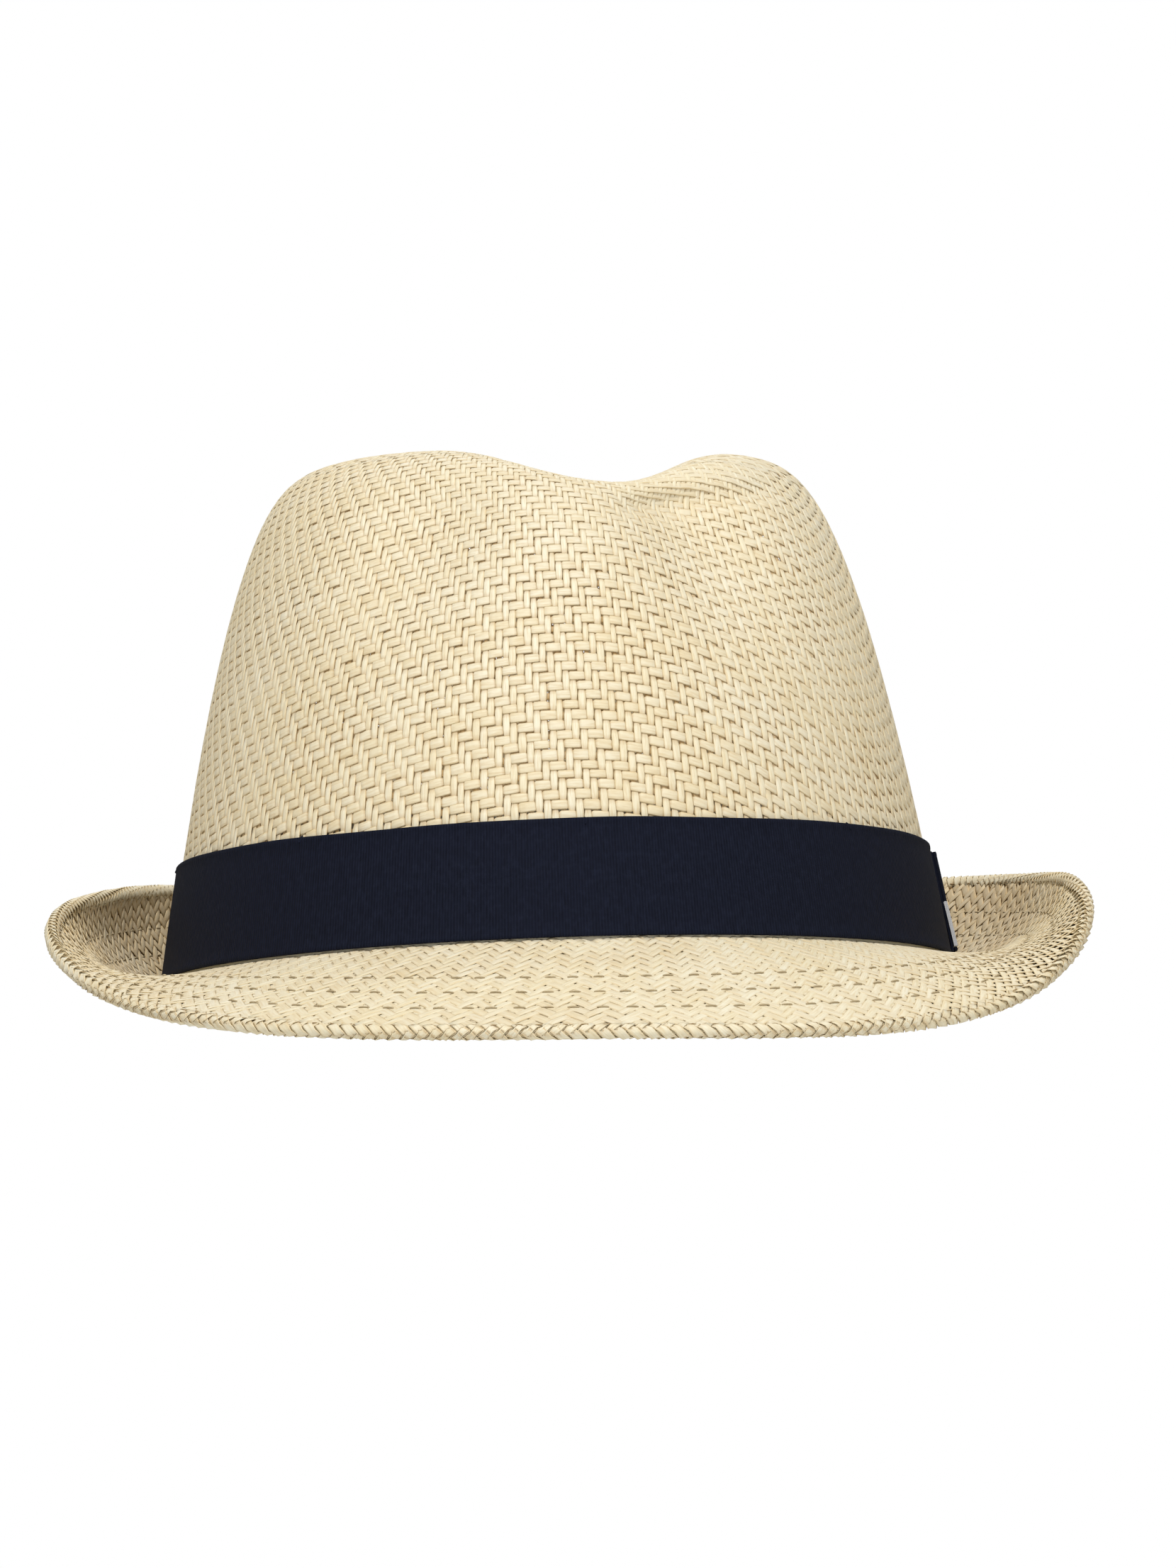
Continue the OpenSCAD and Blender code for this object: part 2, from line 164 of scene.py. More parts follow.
def crown_pt(t, v):
    t, v = np.broadcast_arrays(np.asarray(t, float), np.asarray(v, float))
    level, g = crown_level(v)
    half_w, half_l = half_sizes(level, g)
    x, y = half_w * np.sin(t), -half_l * np.cos(t)
    z = level * (CROWN_H - TIP_RISE * y / CROWN_HALF_L - TIP_LEAN * x / CROWN_HALF_W)
    x, y = pinched(x, y, z, -1, PINCH_RIGHT)
    x, y = pinched(x, y, z, 1, PINCH_LEFT)
    depth = DENT_END_DEPTH + (DENT_DEPTH - DENT_END_DEPTH) * np.exp(-(y / 50) ** 4)
    across = np.exp(-((x - DENT_SHIFT) / DENT_HALF_W) ** 2)
    return vec(x, y, z - depth * across * smooth((level - 0.72) / 0.2))


def crown_normal(t, v):
    e = 0.01
    round_it = crown_pt(t + e, v) - crown_pt(t - e, v)
    return unit(np.cross(round_it, crown_pt(t, np.minimum(v + e, 1.998)) - crown_pt(t, v - e)))


def wall(t, z, off):
    """A point at height z on the crown's wall, moved out by off."""
    v = z / (WALL_TOP * (CROWN_H + TIP_RISE * np.cos(t)))
    return crown_pt(t, v) + np.asarray(off)[..., None] * crown_normal(t, v)


def arc(a, b):
    """Length along a line of points from its first, for each of them."""
    return np.concatenate([[0], np.cumsum(np.hypot(np.diff(a), np.diff(b)))])


def length_round(z, off):
    """How long a closed line round the wall is, at height z and moved out by off."""
    x, y, _ = wall(np.linspace(0, TAU, 721), z, off).T
    return float(arc(x, y)[-1])


def round_wall(at, outline):
    """Sections for a loft: an outline of offsets and heights, put up on the wall at each of some angles."""
    return np.stack([wall(at, z, off) for off, z in outline], axis=1)


def sinc(x):
    safe = np.where(np.abs(x) < 1e-4, 1, x)
    return np.where(np.abs(x) < 1e-4, 1, np.sin(safe) / safe)


def brim_full(t):
    return round_hat(BRIM_WIDTH, t) + WIDTH_DIFF * np.sin(t)


def brim_pt(t, w, off):
    """A point w out from the brim's root and off above its middle surface."""
    a = np.radians(round_hat(ROOT_SLOPE, t))
    turned = t + math.radians(CURL_TURN) * np.sin(t) ** 2
    end = round_hat(EDGE_SLOPE, turned) + CURL_DIFF * np.sin(t) + CURL_TWIST * np.sin(2 * t)
    turn = (np.radians(end) - a) * w / brim_full(t)
    chord = w * sinc(turn / 2)
    out = unit(vec(CROWN_HALF_L * np.sin(t), -CROWN_HALF_W * np.cos(t), 0 * t))
    root = vec((CROWN_HALF_W + BRIM_START) * np.sin(t), -(CROWN_HALF_L + BRIM_START) * np.cos(t), 0 * t)
    run = chord * np.cos(a + turn / 2) - off * np.sin(a + turn)
    rise = chord * np.sin(a + turn / 2) + off * np.cos(a + turn)
    return root + out * run[..., None] + vec(0 * t, 0 * t, rise)


# ---- meshes ----
def new_object(name, verts, faces, uv=None, attributes=(), sharp=None):
    """A mesh object from points in millimetres. uv holds one pair for each face corner, and attributes one
    value for each point. Edges sharper than sharp degrees stay sharp."""
    mesh = bpy.data.meshes.new(name)
    mesh.from_pydata((np.asarray(verts) * MM).tolist(), [], faces)
    if uv is not None:
        layer = mesh.uv_layers.new(name="OFBake")
        layer.data.foreach_set("uv", np.asarray(uv, np.float32).ravel())
    for key, values in dict(attributes).items():
        layer = mesh.attributes.new(key, "FLOAT", "POINT")
        layer.data.foreach_set("value", np.asarray(values, np.float32).ravel())
    mesh.shade_smooth()
    if sharp:
        mesh.set_sharp_from_angle(angle=math.radians(sharp))
    obj = bpy.data.objects.new(name, mesh)
    scene.collection.objects.link(obj)
    return obj


def thin_sections(surface, at, steps, outer, inner):
    """Sections of a thin sheet between two offsets of a surface: one at each at, with points at steps."""
    return np.stack([surface(at, step, outer) for step in steps]
                    + [surface(at, step, inner) for step in steps[::-1]], axis=1)


CAP_UV = 0.001  # size of a cap in the texture map


def loft(name, sections, closed=True, sharp=40, attributes=()):
    """A solid through closed sections, given as sections x points x 3. It closes on itself or gets caps."""
    n, m = sections.shape[:2]
    steps = n if closed else n - 1
    i, j = np.meshgrid(np.arange(steps), np.arange(m), indexing="ij")
    k, l = (i + 1) % n, (j + 1) % m
    quads = np.stack([i * m + j, i * m + l, k * m + l, k * m + j], -1).reshape(-1, 4)
    uv = np.stack([i / steps, j / m, i / steps, (j + 1) / m, (i + 1) / steps, (j + 1) / m,
                   (i + 1) / steps, j / m], -1).reshape(-1, 8)
    faces = quads.tolist()
    uv = uv.ravel().tolist()
    if not closed:
        faces.append(list(range(m))[::-1])
        faces.append([(n - 1) * m + c for c in range(m)])
        uv += [CAP_UV * wave(c) for c in range(m) for wave in (math.cos, math.sin)] * 2
    return new_object(name, sections.reshape(-1, 3), faces, uv, attributes, sharp)


# Cross-section of a strand, as parts of its width and thickness: a rounded top and a narrower flat foot
STRAND = np.array([(-0.5, 0.12), (-0.36, 0.41), (0, 0.5), (0.36, 0.41), (0.5, 0.12),
                   (0.3, -0.42), (-0.3, -0.42)])


def neighbours(valid):
    """Whether each node of each strand has a valid one before it, and whether it has one after it."""
    blank = np.zeros((len(valid), 1), bool)
    return np.hstack([blank, valid[:, :-1]]), np.hstack([valid[:, 1:], blank])


def strands(name, centre, normal, width, thick, valid, tint, low, section=STRAND):
    """Strands swept along rows of nodes, as one mesh. Arrays are strands x nodes, and a strand breaks where
    valid is false."""
    valid = valid & np.logical_or(*neighbours(valid))
    before, after = neighbours(valid)
    along = np.gradient(centre, axis=1)
    steps = np.linalg.norm(np.diff(centre, axis=1, prepend=centre[:, :1]), axis=-1)
    length = np.cumsum(steps, axis=1)
    run = unit(along)
    up = unit(normal - (normal * run).sum(-1, keepdims=True) * run)
    side = np.cross(up, run)
    m = len(section)
    number = np.full(valid.shape, -1)
    number[valid] = np.arange(valid.sum())
    c, s, u = centre[valid], side[valid], up[valid]
    w, h = width[valid], thick[valid]
    verts = (c[:, None] + section[None, :, 0, None] * w[:, None, None] * s[:, None]
             + section[None, :, 1, None] * h[:, None, None] * u[:, None])
    pair = valid[:, :-1] & valid[:, 1:]
    a, b = number[:, :-1][pair], number[:, 1:][pair]
    ring = np.arange(m)
    nxt = (ring + 1) % m
    quads = np.stack([a[:, None] * m + ring, a[:, None] * m + nxt, b[:, None] * m + nxt,
                      b[:, None] * m + ring], -1).reshape(-1, 4)
    rows, cols = np.nonzero(pair)
    n_rows, n_cols = valid.shape
    inset, used = 0.05, 0.9  # of each strand's row in the texture map
    v0 = (rows[:, None] + inset + used * ring / m) / n_rows
    v1 = (rows[:, None] + inset + used * (ring + 1) / m) / n_rows
    u0 = np.broadcast_to(cols[:, None] / n_cols, v0.shape)
    u1 = np.broadcast_to((cols[:, None] + 1) / n_cols, v0.shape)
    uv = np.stack([u0, v0, u0, v1, u1, v1, u1, v0], -1).reshape(-1)
    starts = number[valid & ~before]
    ends = number[valid & ~after]
    caps = np.concatenate([starts[:, None] * m + ring[::-1], ends[:, None] * m + ring])
    cap_uv = np.full(caps.size * 2, 0.0005)
    # The low attribute is how much painted shade the straw material mixes in at each point.
    attributes = {
        "tint": np.repeat(tint[valid], m),
        "low": np.repeat(low[valid], m),
        "along": np.repeat(length[valid], m),
        "across": np.tile(section[:, 0] * 2, len(c)),
    }
    return new_object(name, verts.reshape(-1, 3), quads.tolist() + caps.tolist(),
                      np.concatenate([uv, cap_uv]), attributes)


def drift(rows, cols, span, size):
    """Slow random variation along each row: a random value every span columns, joined by straight lines."""
    knots = rng.normal(0, size, (rows, int(cols / span) + 2))
    x = np.arange(cols) / span
    k = x.astype(int)
    f = x - k
    return knots[:, k] * (1 - f) + knots[:, k + 1] * f


# ---- woven cloth: a grid of crossings, made into two families of strands ----
WARP_PITCH, WEFT_PITCH = 1.62, 2.15
FLOAT_FILL, DIVE_FILL = 1.0, 0.66  # part of its room that a strand fills where it floats, and dives
WEFT_THIN = 0.03  # how much less of it a weft fills
STRAND_T = 0.36
RELIEF = 0.18  # how far the strands lie from the cloth's middle surface
PRESSING = 0.9  # how much of the relief and of the painted shade in the dives full pressing takes away
WARP_WANDER, WEFT_WANDER = 0.13, 0.17  # how far strands wander from their lines
WARP_SWELL, WEFT_SWELL = 0.05, 0.06  # how much their widths vary
WARP_MOST, WEFT_MOST = 1.2, 1.5  # how wide they get where the cloth is stretched, in pitches
WEFT_NODES = (-0.29, 0.29)  # a weft's nodes beside each crossing, as parts of the pitch
LOOSE_WARPS = 8  # warps over which the wander fades out where a ring closes on itself


def patches(s, t, size, stretch, lean):
    """Soft random patches over the cloth, from 0 to 1, drawn out along one slanting direction."""
    cells = 64
    grid = rng.uniform(0, 1, (cells, cells))
    a = (s * math.cos(lean) + t * math.sin(lean)) / size + cells // 2
    b = (t * math.cos(lean) - s * math.sin(lean)) / size / stretch + cells // 2
    i, j = np.clip(a.astype(int), 0, cells - 2), np.clip(b.astype(int), 0, cells - 2)
    f, g = smooth(a - i), smooth(b - j)
    low = grid[i, j] * (1 - f) + grid[i + 1, j] * f
    high = grid[i, j + 1] * (1 - f) + grid[i + 1, j + 1] * f
    return low * (1 - g) + high * g


def weave(place, i, j, keep, round_it=False, relief=RELIEF, sink=None, press=None, painted_shade=0.0):
    """Warps number i and wefts number j, as two families: dictionaries of arrays that strands() takes.

    place(s, t) gives surface points and normals for cloth coordinates in millimetres, keep(s, t, p) says
    which of them the cloth covers. A cloth that goes round_it closes on itself: its last warp is its first.
    sink(s, t) moves the cloth along its normals, press(s, t, p) adds to how flat it is pressed, and the
    last argument is how much painted shade darkens the cloth where it isn't pressed."""
    I, J = np.meshgrid(i, j, indexing="ij")
    loose = np.clip(np.minimum(i - i[0], i[-1] - i) / LOOSE_WARPS, 0, 1)[:, None] if round_it else 1.0
    s = (I + 0.5) * WARP_PITCH + drift(len(i), len(j), 7, WARP_WANDER) * loose
    t = (J + 0.5) * WEFT_PITCH + drift(len(j), len(i), 9, WEFT_WANDER).T * loose
    p, n = place(s, t)
    ok = keep(s, t, p)
    along_warp = np.gradient(p, axis=1)
    along_weft = np.gradient(p, axis=0)
    cell = np.linalg.norm(np.cross(along_warp, along_weft), axis=-1)
    warp_gap = cell / np.maximum(np.linalg.norm(along_warp, axis=-1), 1e-6)
    weft_gap = cell / np.maximum(np.linalg.norm(along_weft, axis=-1), 1e-6)
    warp_up = ((I - J) % 4) < 2
    pressed = smooth(0.6 * patches(s, t, 7, 2.4, 0.9) + 0.6 * patches(s, t, 17, 1.5, 0.9) - 0.18) ** 1.5
    if press is not None:
        pressed = np.clip(pressed * 0.7 + press(s, t, p), 0, 1)
    height = relief * (1.1 - PRESSING * pressed)
    # Painted shade on the cloth where it isn't pressed, used on the back of the brim
    shade = painted_shade * (1 - pressed)
    level = np.where(warp_up, height, -height)
    sunk = np.zeros_like(s) if sink is None else sink(s, t)
    warp_tint = np.broadcast_to(rng.uniform(0, 1, (len(i), 1)), I.shape)
    weft_tint = np.broadcast_to(rng.uniform(0, 1, (1, len(j))), I.shape)
    warp_fat = 1 + drift(len(i), len(j), 4, WARP_SWELL)
    weft_fat = 1 + drift(len(j), len(i), 4, WEFT_SWELL).T
    dive_fill = DIVE_FILL + (1.0 - DIVE_FILL) * pressed
    # Painted shade where strands dive under the other family, less where the cloth is pressed flat
    depth = 1 - PRESSING * pressed
    warp_fill = np.where(warp_up, FLOAT_FILL, dive_fill) * warp_fat
    weft_fill = np.where(warp_up, dive_fill, FLOAT_FILL - WEFT_THIN) * weft_fat
    warp = {
        "centre": p + n * (level + sunk)[..., None],
        "normal": n,
        "width": np.clip(warp_gap, 0.4, WARP_PITCH * WARP_MOST) * warp_fill,
        "thick": np.full(I.shape, STRAND_T),
        "valid": ok,
        "tint": warp_tint,
        "low": np.where(warp_up, shade, depth),
    }

    def spread(values):
        """Values at the crossings, moved to the weft's own nodes on both sides of each crossing."""
        flipped = np.swapaxes(values, 0, 1)
        step = np.gradient(flipped, axis=1)
        both = [flipped + f * step for f in WEFT_NODES]
        shape = list(flipped.shape)
        shape[1] *= len(WEFT_NODES)
        return np.stack(both, axis=2).reshape(shape)

    def repeat(values):
        return np.repeat(values.T, len(WEFT_NODES), axis=1)

    lift = repeat(sunk - level)
    weft = {
        "centre": spread(p) + spread(n) * lift[..., None],
        "normal": spread(n),
        "width": repeat(np.clip(weft_gap, 0.5, WEFT_PITCH * WEFT_MOST) * weft_fill),
        "thick": np.full(lift.shape, STRAND_T),
        "valid": repeat(ok),
        "tint": repeat(weft_tint),
        # Floating wefts always take a small share of the same dark brown.
        "low": repeat(np.where(warp_up, depth, 0.12 + shade)),
    }
    return warp, weft


def part_of(family, rows):
    return {key: value[rows] for key, value in family.items()}


# ---- how the woven body lies on the crown: warps run down from the tip, and wefts round it ----
RING_HALF_W, RING_HALF_L = 73, 91  # half sizes of the ring that spaces the warps
RIGHT_SAG, LEFT_SAG = 12, 42  # how much further down the wefts hang at the wearer's sides
CROWN_MID = -0.56  # the strands' middle surface, from the crown's outer face
STRAND_FOOT = 20.5  # strands end at this height, under the ribbon
u_table = np.linspace(0, 2.15, 1200)
ring_angles = np.linspace(-math.pi, math.pi, 721)


level_table, g_table = crown_level(2 - u_table)
side_arc, front_arc = (arc(half, level_table * CROWN_H) for half in half_sizes(level_table, g_table))
ring_arc = arc(RING_HALF_W * np.sin(ring_angles), RING_HALF_L * np.cos(ring_angles))


def weft_sag(sine, u):
    """How much further down the wefts hang in the direction with this sine, at u down from the tip."""
    return np.where(sine > 0, LEFT_SAG * u / 2, RIGHT_SAG * smooth(u))


CREASE_DEPTH, CREASE_HALF, CREASE_Z, CREASE_RISE = 1.2, 2.4, 93.6, 0.135
RIDGE_OVER, RIDGE_HALF = 5, 4.5  # the ridge's middle over the crease, and half its height


def over_crease(p):
    """Height above the crease under the rolled ridge at the wearer's left of the front, and its window."""
    x, y, z = p[..., 0], p[..., 1], p[..., 2]
    return z - CREASE_Z - CREASE_RISE * (x - 14), smooth((x - 8) / 10) * smooth((50 - x) / 10) * (y < 0)


def crease(p):
    over, window = over_crease(p)
    return -CREASE_DEPTH * window * np.exp(-(over / CREASE_HALF) ** 2)


def crown_press(s, t, p):
    """The rolled ridge above the crease is rubbed smooth."""
    over, window = over_crease(p)
    return window * np.exp(-((over - RIDGE_OVER) / RIDGE_HALF) ** 2)


def crown_place(count):
    """Places on the crown for count warps: s runs round it, t down from the middle of the tip."""
    def place(s, t):
        theta = np.interp(s / count / WARP_PITCH % 1 * ring_arc[-1], ring_arc, ring_angles)
        u = np.empty_like(theta)
        for i, sine in enumerate(np.sin(theta.mean(1))):
            down = front_arc * (1 - sine ** 2) + (side_arc - weft_sag(sine, u_table)) * sine ** 2
            u[i] = np.interp(t[i], down, u_table)
        p, n = crown_pt(theta, 2 - u), crown_normal(theta, 2 - u)
        return p + n * (CROWN_MID + crease(p))[..., None], n
    return place


def crown_keep(s, t, p):
    return p[..., 2] > STRAND_FOOT


# ---- how the square middle patch lies on the tip: s runs across the hat, t to its back ----
TIP_HALF_W, TIP_HALF_L = CROWN_HALF_W * (1 - TAPER_W), CROWN_HALF_L * (1 - TAPER_L)
PATCH_LOW = 0.25  # how far the patch lies below the rings' surface
PATCH_EDGE = 10.5 * WEFT_PITCH  # where the innermost ring starts, down from the middle of the tip
PATCH_LAP = 2.2  # how far the patch reaches under that ring


def patch_coords(s, t):
    """Angle round the hat, and u, of the point over (s, t) on the tip."""
    low, high = np.full(s.shape, 1e-3), np.ones(s.shape)
    for _ in range(30):
        g = (low + high) / 2
        outside = (s / TIP_HALF_W / g) ** 2 + (t / TIP_HALF_L / g ** LONG_ROUND) ** 2 > 1
        low, high = np.where(outside, g, low), np.where(outside, high, g)
    g = (low + high) / 2
    angle = np.arctan2(s / TIP_HALF_W / g, -t / TIP_HALF_L / g ** LONG_ROUND)
    return angle, g / left_of(WALL_TOP)


def patch_place(s, t):
    angle, u = patch_coords(s, t)
    p = crown_pt(angle, 2 - u)
    n = unit(np.cross(np.gradient(p, axis=0), np.gradient(p, axis=1)))
    return p + n * (CROWN_MID - PATCH_LOW), n


def patch_keep(s, t, p):
    angle, u = patch_coords(s, t)
    side = np.sin(angle) ** 2
    front_down = np.interp(u, u_table, front_arc)
    side_down = np.interp(u, u_table, side_arc) - weft_sag(np.sin(angle), u)
    return front_down * (1 - side) + side_down * side < PATCH_EDGE + PATCH_LAP


# ---- how the brim's cloth lies: on the slant, so that its ribs run outwards ----
BRIM_WARPS, BRIM_WEFTS = 280, 212  # strands that cross one ring, both multiples of four
BRIM_LOOP = math.hypot(BRIM_WARPS * WARP_PITCH, BRIM_WEFTS * WEFT_PITCH)
SLANT = math.atan2(BRIM_WEFTS * WEFT_PITCH, BRIM_WARPS * WARP_PITCH)
EDGE_LAP = 1.6  # how far from the edge the layers' strands end, under the folded edge
ROOT_LAP = -1.6  # how far inside the root they start, under the ribbon
# The brim's relief, and the painted shade that darkens its unpressed back
BRIM_RELIEF, BRIM_PAINTED_SHADE = 0.23, 0.42
ROW_SINK, ROW_SINK_HALF = 0.14, 1.1  # how far a row of stitches draws the straw in, and over what width
BRIM_REACH = 34  # strands more on each side than one ring holds, for those that cross its ends
BRIM_RING_HALF_W, BRIM_RING_HALF_L = 98, 118
brim_arc = arc(BRIM_RING_HALF_W * np.sin(ring_angles), BRIM_RING_HALF_L * np.cos(ring_angles))


def brim_coords(s, t):
    """Angle round the hat, and distance out from the brim's root, of cloth coordinates."""
    a, w = s * math.cos(SLANT) - t * math.sin(SLANT), s * math.sin(SLANT) + t * math.cos(SLANT)
    return np.interp(a / BRIM_LOOP % 1 * brim_arc[-1], brim_arc, ring_angles), w


def brim_place(off):
    def place(s, t):
        angle, w = brim_coords(s, t)
        p = brim_pt(angle, w, off)
        return p, unit(brim_pt(angle, w, off + 0.5) - p)
    return place


def brim_keep(s, t, p):
    angle, w = brim_coords(s, t)
    return (w > ROOT_LAP) & (w < brim_full(angle) - EDGE_LAP)


def brim_press(s, t, p):
    """The front of the brim is pressed smooth, its back is left as it was woven."""
    angle, w = brim_coords(s, t)
    return 0.95 * smooth((np.cos(angle) + 0.3) / 0.7) - 0.2


def brim_sink(way):
    """Each row of stitches draws the straw in."""
    def sink(s, t):
        angle, w = brim_coords(s, t)
        back = brim_full(angle) - w
        return -way * sum(ROW_SINK * np.exp(-((back - row) / ROW_SINK_HALF) ** 2) for row in ROW_BACKS)
    return sink


# ---- materials ----
def new_material(name):
    mat = bpy.data.materials.new(name)
    mat.use_nodes = True
    return mat, mat.node_tree, mat.node_tree.nodes["Principled BSDF"]


def set_inputs(tree, node, inputs):
    """Sets constants on a node's inputs, or links other nodes' outputs to them."""
    for key, value in inputs.items():
        if isinstance(value, bpy.types.NodeSocket):
            tree.links.new(value, node.inputs[key])
        else:
            node.inputs[key].default_value = value


def add(tree, kind, inputs=None, **props):
    node = tree.nodes.new("ShaderNode" + kind)
    for key, value in props.items():
        setattr(node, key, value)
    set_inputs(tree, node, inputs or {})
    return node


def math_node(tree, operation, *values):
    return add(tree, "Math", dict(enumerate(values)), operation=operation).outputs[0]


def attribute(tree, name):
    return add(tree, "Attribute", attribute_name=name).outputs["Fac"]


def rgb(r, g, b):
    return (r, g, b, 1)


def mix(tree, factor, a, b):
    """Mixes two colours. A mix node's inputs 6 and 7, and its output 2, are the ones for colours."""
    return add(tree, "Mix", {"Factor": factor, 6: a, 7: b}, data_type="RGBA").outputs[2]


def ramp(tree, value, low, high, out_low=0.0, out_high=1.0):
    return add(tree, "MapRange", {"Value": value, "From Min": low, "From Max": high, "To Min": out_low,
                                  "To Max": out_high}).outputs[0]


def noise(tree, scale, detail, where=None):
    """Noise from 0 to 1, over object coordinates unless where says otherwise."""
    if where is None:
        where = add(tree, "TexCoord").outputs["Object"]
    return add(tree, "TexNoise", {"Vector": where, "Scale": scale, "Detail": detail}).outputs[0]


def straw_material(name, light, dark, shade, hollow_shade, side_shade):
    """Straw: strands between light and dark, streaked along their fibres with a darker straw colour. Their
    sides are darkened with painted shade in an orange-brown, and the low attribute mixes in a darker brown
    painted shade.
    """
    mat, tree, bsdf = new_material(name)
    tint, low = attribute(tree, "tint"), attribute(tree, "low")
    along, across = attribute(tree, "along"), attribute(tree, "across")
    where = add(tree, "CombineXYZ", {0: math_node(tree, "MULTIPLY", along, 0.3),
                                     1: math_node(tree, "MULTIPLY", across, 2.2),
                                     2: math_node(tree, "MULTIPLY", tint, 70.0)}).outputs[0]
    fibre = noise(tree, 1.0, 3.0, where)
    patch = noise(tree, 28.0, 2.0)
    tone = math_node(tree, "ADD", math_node(tree, "MULTIPLY", tint, 0.55),
                     ramp(tree, patch, 0.3, 0.7, 0.0, 0.45))
    base = mix(tree, tone, light, dark)
    base = mix(tree, ramp(tree, fibre, 0.42, 0.72, 0.0, 0.5), base, shade)
    # Painted shade: the sides of each strand, where its neighbours shade it, turn orange-brown.
    edge = math_node(tree, "POWER", math_node(tree, "ABSOLUTE", across), 4.0)
    base = mix(tree, math_node(tree, "MULTIPLY", edge, 0.45), base, side_shade)
    # Painted shade: the low attribute turns strands dark brown where they dive under the other family and
    # on the brim's unpressed back.
    base = mix(tree, math_node(tree, "MULTIPLY", low, 0.8), base, hollow_shade)
    bump = add(tree, "Bump", {"Height": fibre, "Strength": 0.35, "Distance": 0.00012}).outputs[0]
    set_inputs(tree, bsdf, {"Base Color": base, "Roughness": ramp(tree, fibre, 0.3, 0.7, 0.5, 0.68),
                            "Specular IOR Level": 0.32, "Normal": bump})
    return mat


straw = straw_material("straw", light=rgb(0.82, 0.77, 0.61), dark=rgb(0.78, 0.69, 0.48),
                       shade=rgb(0.62, 0.46, 0.22), hollow_shade=rgb(0.44, 0.25, 0.07),
                       side_shade=rgb(0.72, 0.52, 0.23))
# The brim's under layer and the fold's core: the same straw painted darker and greyer, as painted shade
under_straw_shaded = straw_material("straw_under_shaded", light=rgb(0.72, 0.66, 0.49), dark=rgb(0.62, 0.55, 0.37),
                             shade=rgb(0.45, 0.35, 0.17), hollow_shade=rgb(0.32, 0.2, 0.07),
                             side_shade=rgb(0.5, 0.37, 0.18))
WAVE_BANDS = 20  # the wave texture's own factor: its bands are TAU / 20 apart at scale 1


def cloth_material(name, dark, light, pitch=0.5, angle=0.0, roughness=0.8, bump=0.3, sheen=0.0):
    """Plain cloth: fine threads in two directions from object coordinates, and a little mottling."""
    mat, tree, bsdf = new_material(name)
    where = add(tree, "TexCoord").outputs["Object"]
    turned = add(tree, "Mapping", {"Vector": where, "Rotation": (0, angle, angle)}).outputs[0]
    scale = TAU / (pitch * MM) / WAVE_BANDS
    waves = [add(tree, "TexWave", {"Vector": turned, "Scale": scale, "Distortion": 0.4},
                 bands_direction=way).outputs["Fac"] for way in ("X", "Z")]
    weave_height = math_node(tree, "MULTIPLY", *waves)
    blotch = noise(tree, 60.0, 4.0, where)
    factor = math_node(tree, "ADD", math_node(tree, "MULTIPLY", weave_height, 0.5),
                       ramp(tree, blotch, 0.3, 0.7, 0.0, 0.5))
    rough = ramp(tree, blotch, 0.3, 0.7, roughness - 0.06, roughness + 0.06)
    raised = add(tree, "Bump", {"Height": weave_height, "Strength": bump, "Distance": 0.0001}).outputs[0]
    set_inputs(tree, bsdf, {"Base Color": mix(tree, factor, dark, light), "Roughness": rough,
                            "Sheen Weight": sheen, "Normal": raised})
    return mat


RIB_PITCH = 0.75


def ribbon_material():
    """Ribbed ribbon: near-black navy, with fine ribs that run up it."""
    mat, tree, bsdf = new_material("grosgrain")
    along, across = attribute(tree, "along"), attribute(tree, "across")
    rib = math_node(tree, "SINE", math_node(tree, "MULTIPLY", along, TAU / RIB_PITCH))
    where = add(tree, "CombineXYZ", {0: math_node(tree, "MULTIPLY", along, 1.6),
                                     1: math_node(tree, "MULTIPLY", across, 0.35), 2: 3.0}).outputs[0]
    thread = noise(tree, 1.0, 4.0, where)
    fleck = noise(tree, 900.0, 2.0)
    height = math_node(tree, "ADD", math_node(tree, "MULTIPLY", rib, 0.5), thread)
    tone = math_node(tree, "ADD", ramp(tree, rib, -1, 1, 0.0, 0.35), ramp(tree, thread, 0.3, 0.7, 0.0, 0.4))
    tone = math_node(tree, "ADD", tone, ramp(tree, fleck, 0.45, 0.75, 0.0, 0.3))
    base = mix(tree, tone, rgb(0.0035, 0.0045, 0.0105), rgb(0.0115, 0.0145, 0.029))
    bump = add(tree, "Bump", {"Height": height, "Strength": 0.6, "Distance": 0.00015}).outputs[0]
    set_inputs(tree, bsdf, {"Base Color": base, "Roughness": ramp(tree, thread, 0.3, 0.7, 0.7, 0.85),
                            "Specular IOR Level": 0.07, "Normal": bump})
    return mat


def metal_material(name, color, roughness):
    mat, tree, bsdf = new_material(name)
    scratch = noise(tree, 1500.0, 3.0)
    base = mix(tree, scratch, rgb(*[c * 0.8 for c in color]), rgb(*color))
    rough = ramp(tree, scratch, 0.3, 0.7, roughness - 0.1, roughness + 0.1)
    set_inputs(tree, bsdf, {"Base Color": base, "Roughness": rough, "Metallic": 1.0})
    return mat


navy = ribbon_material()
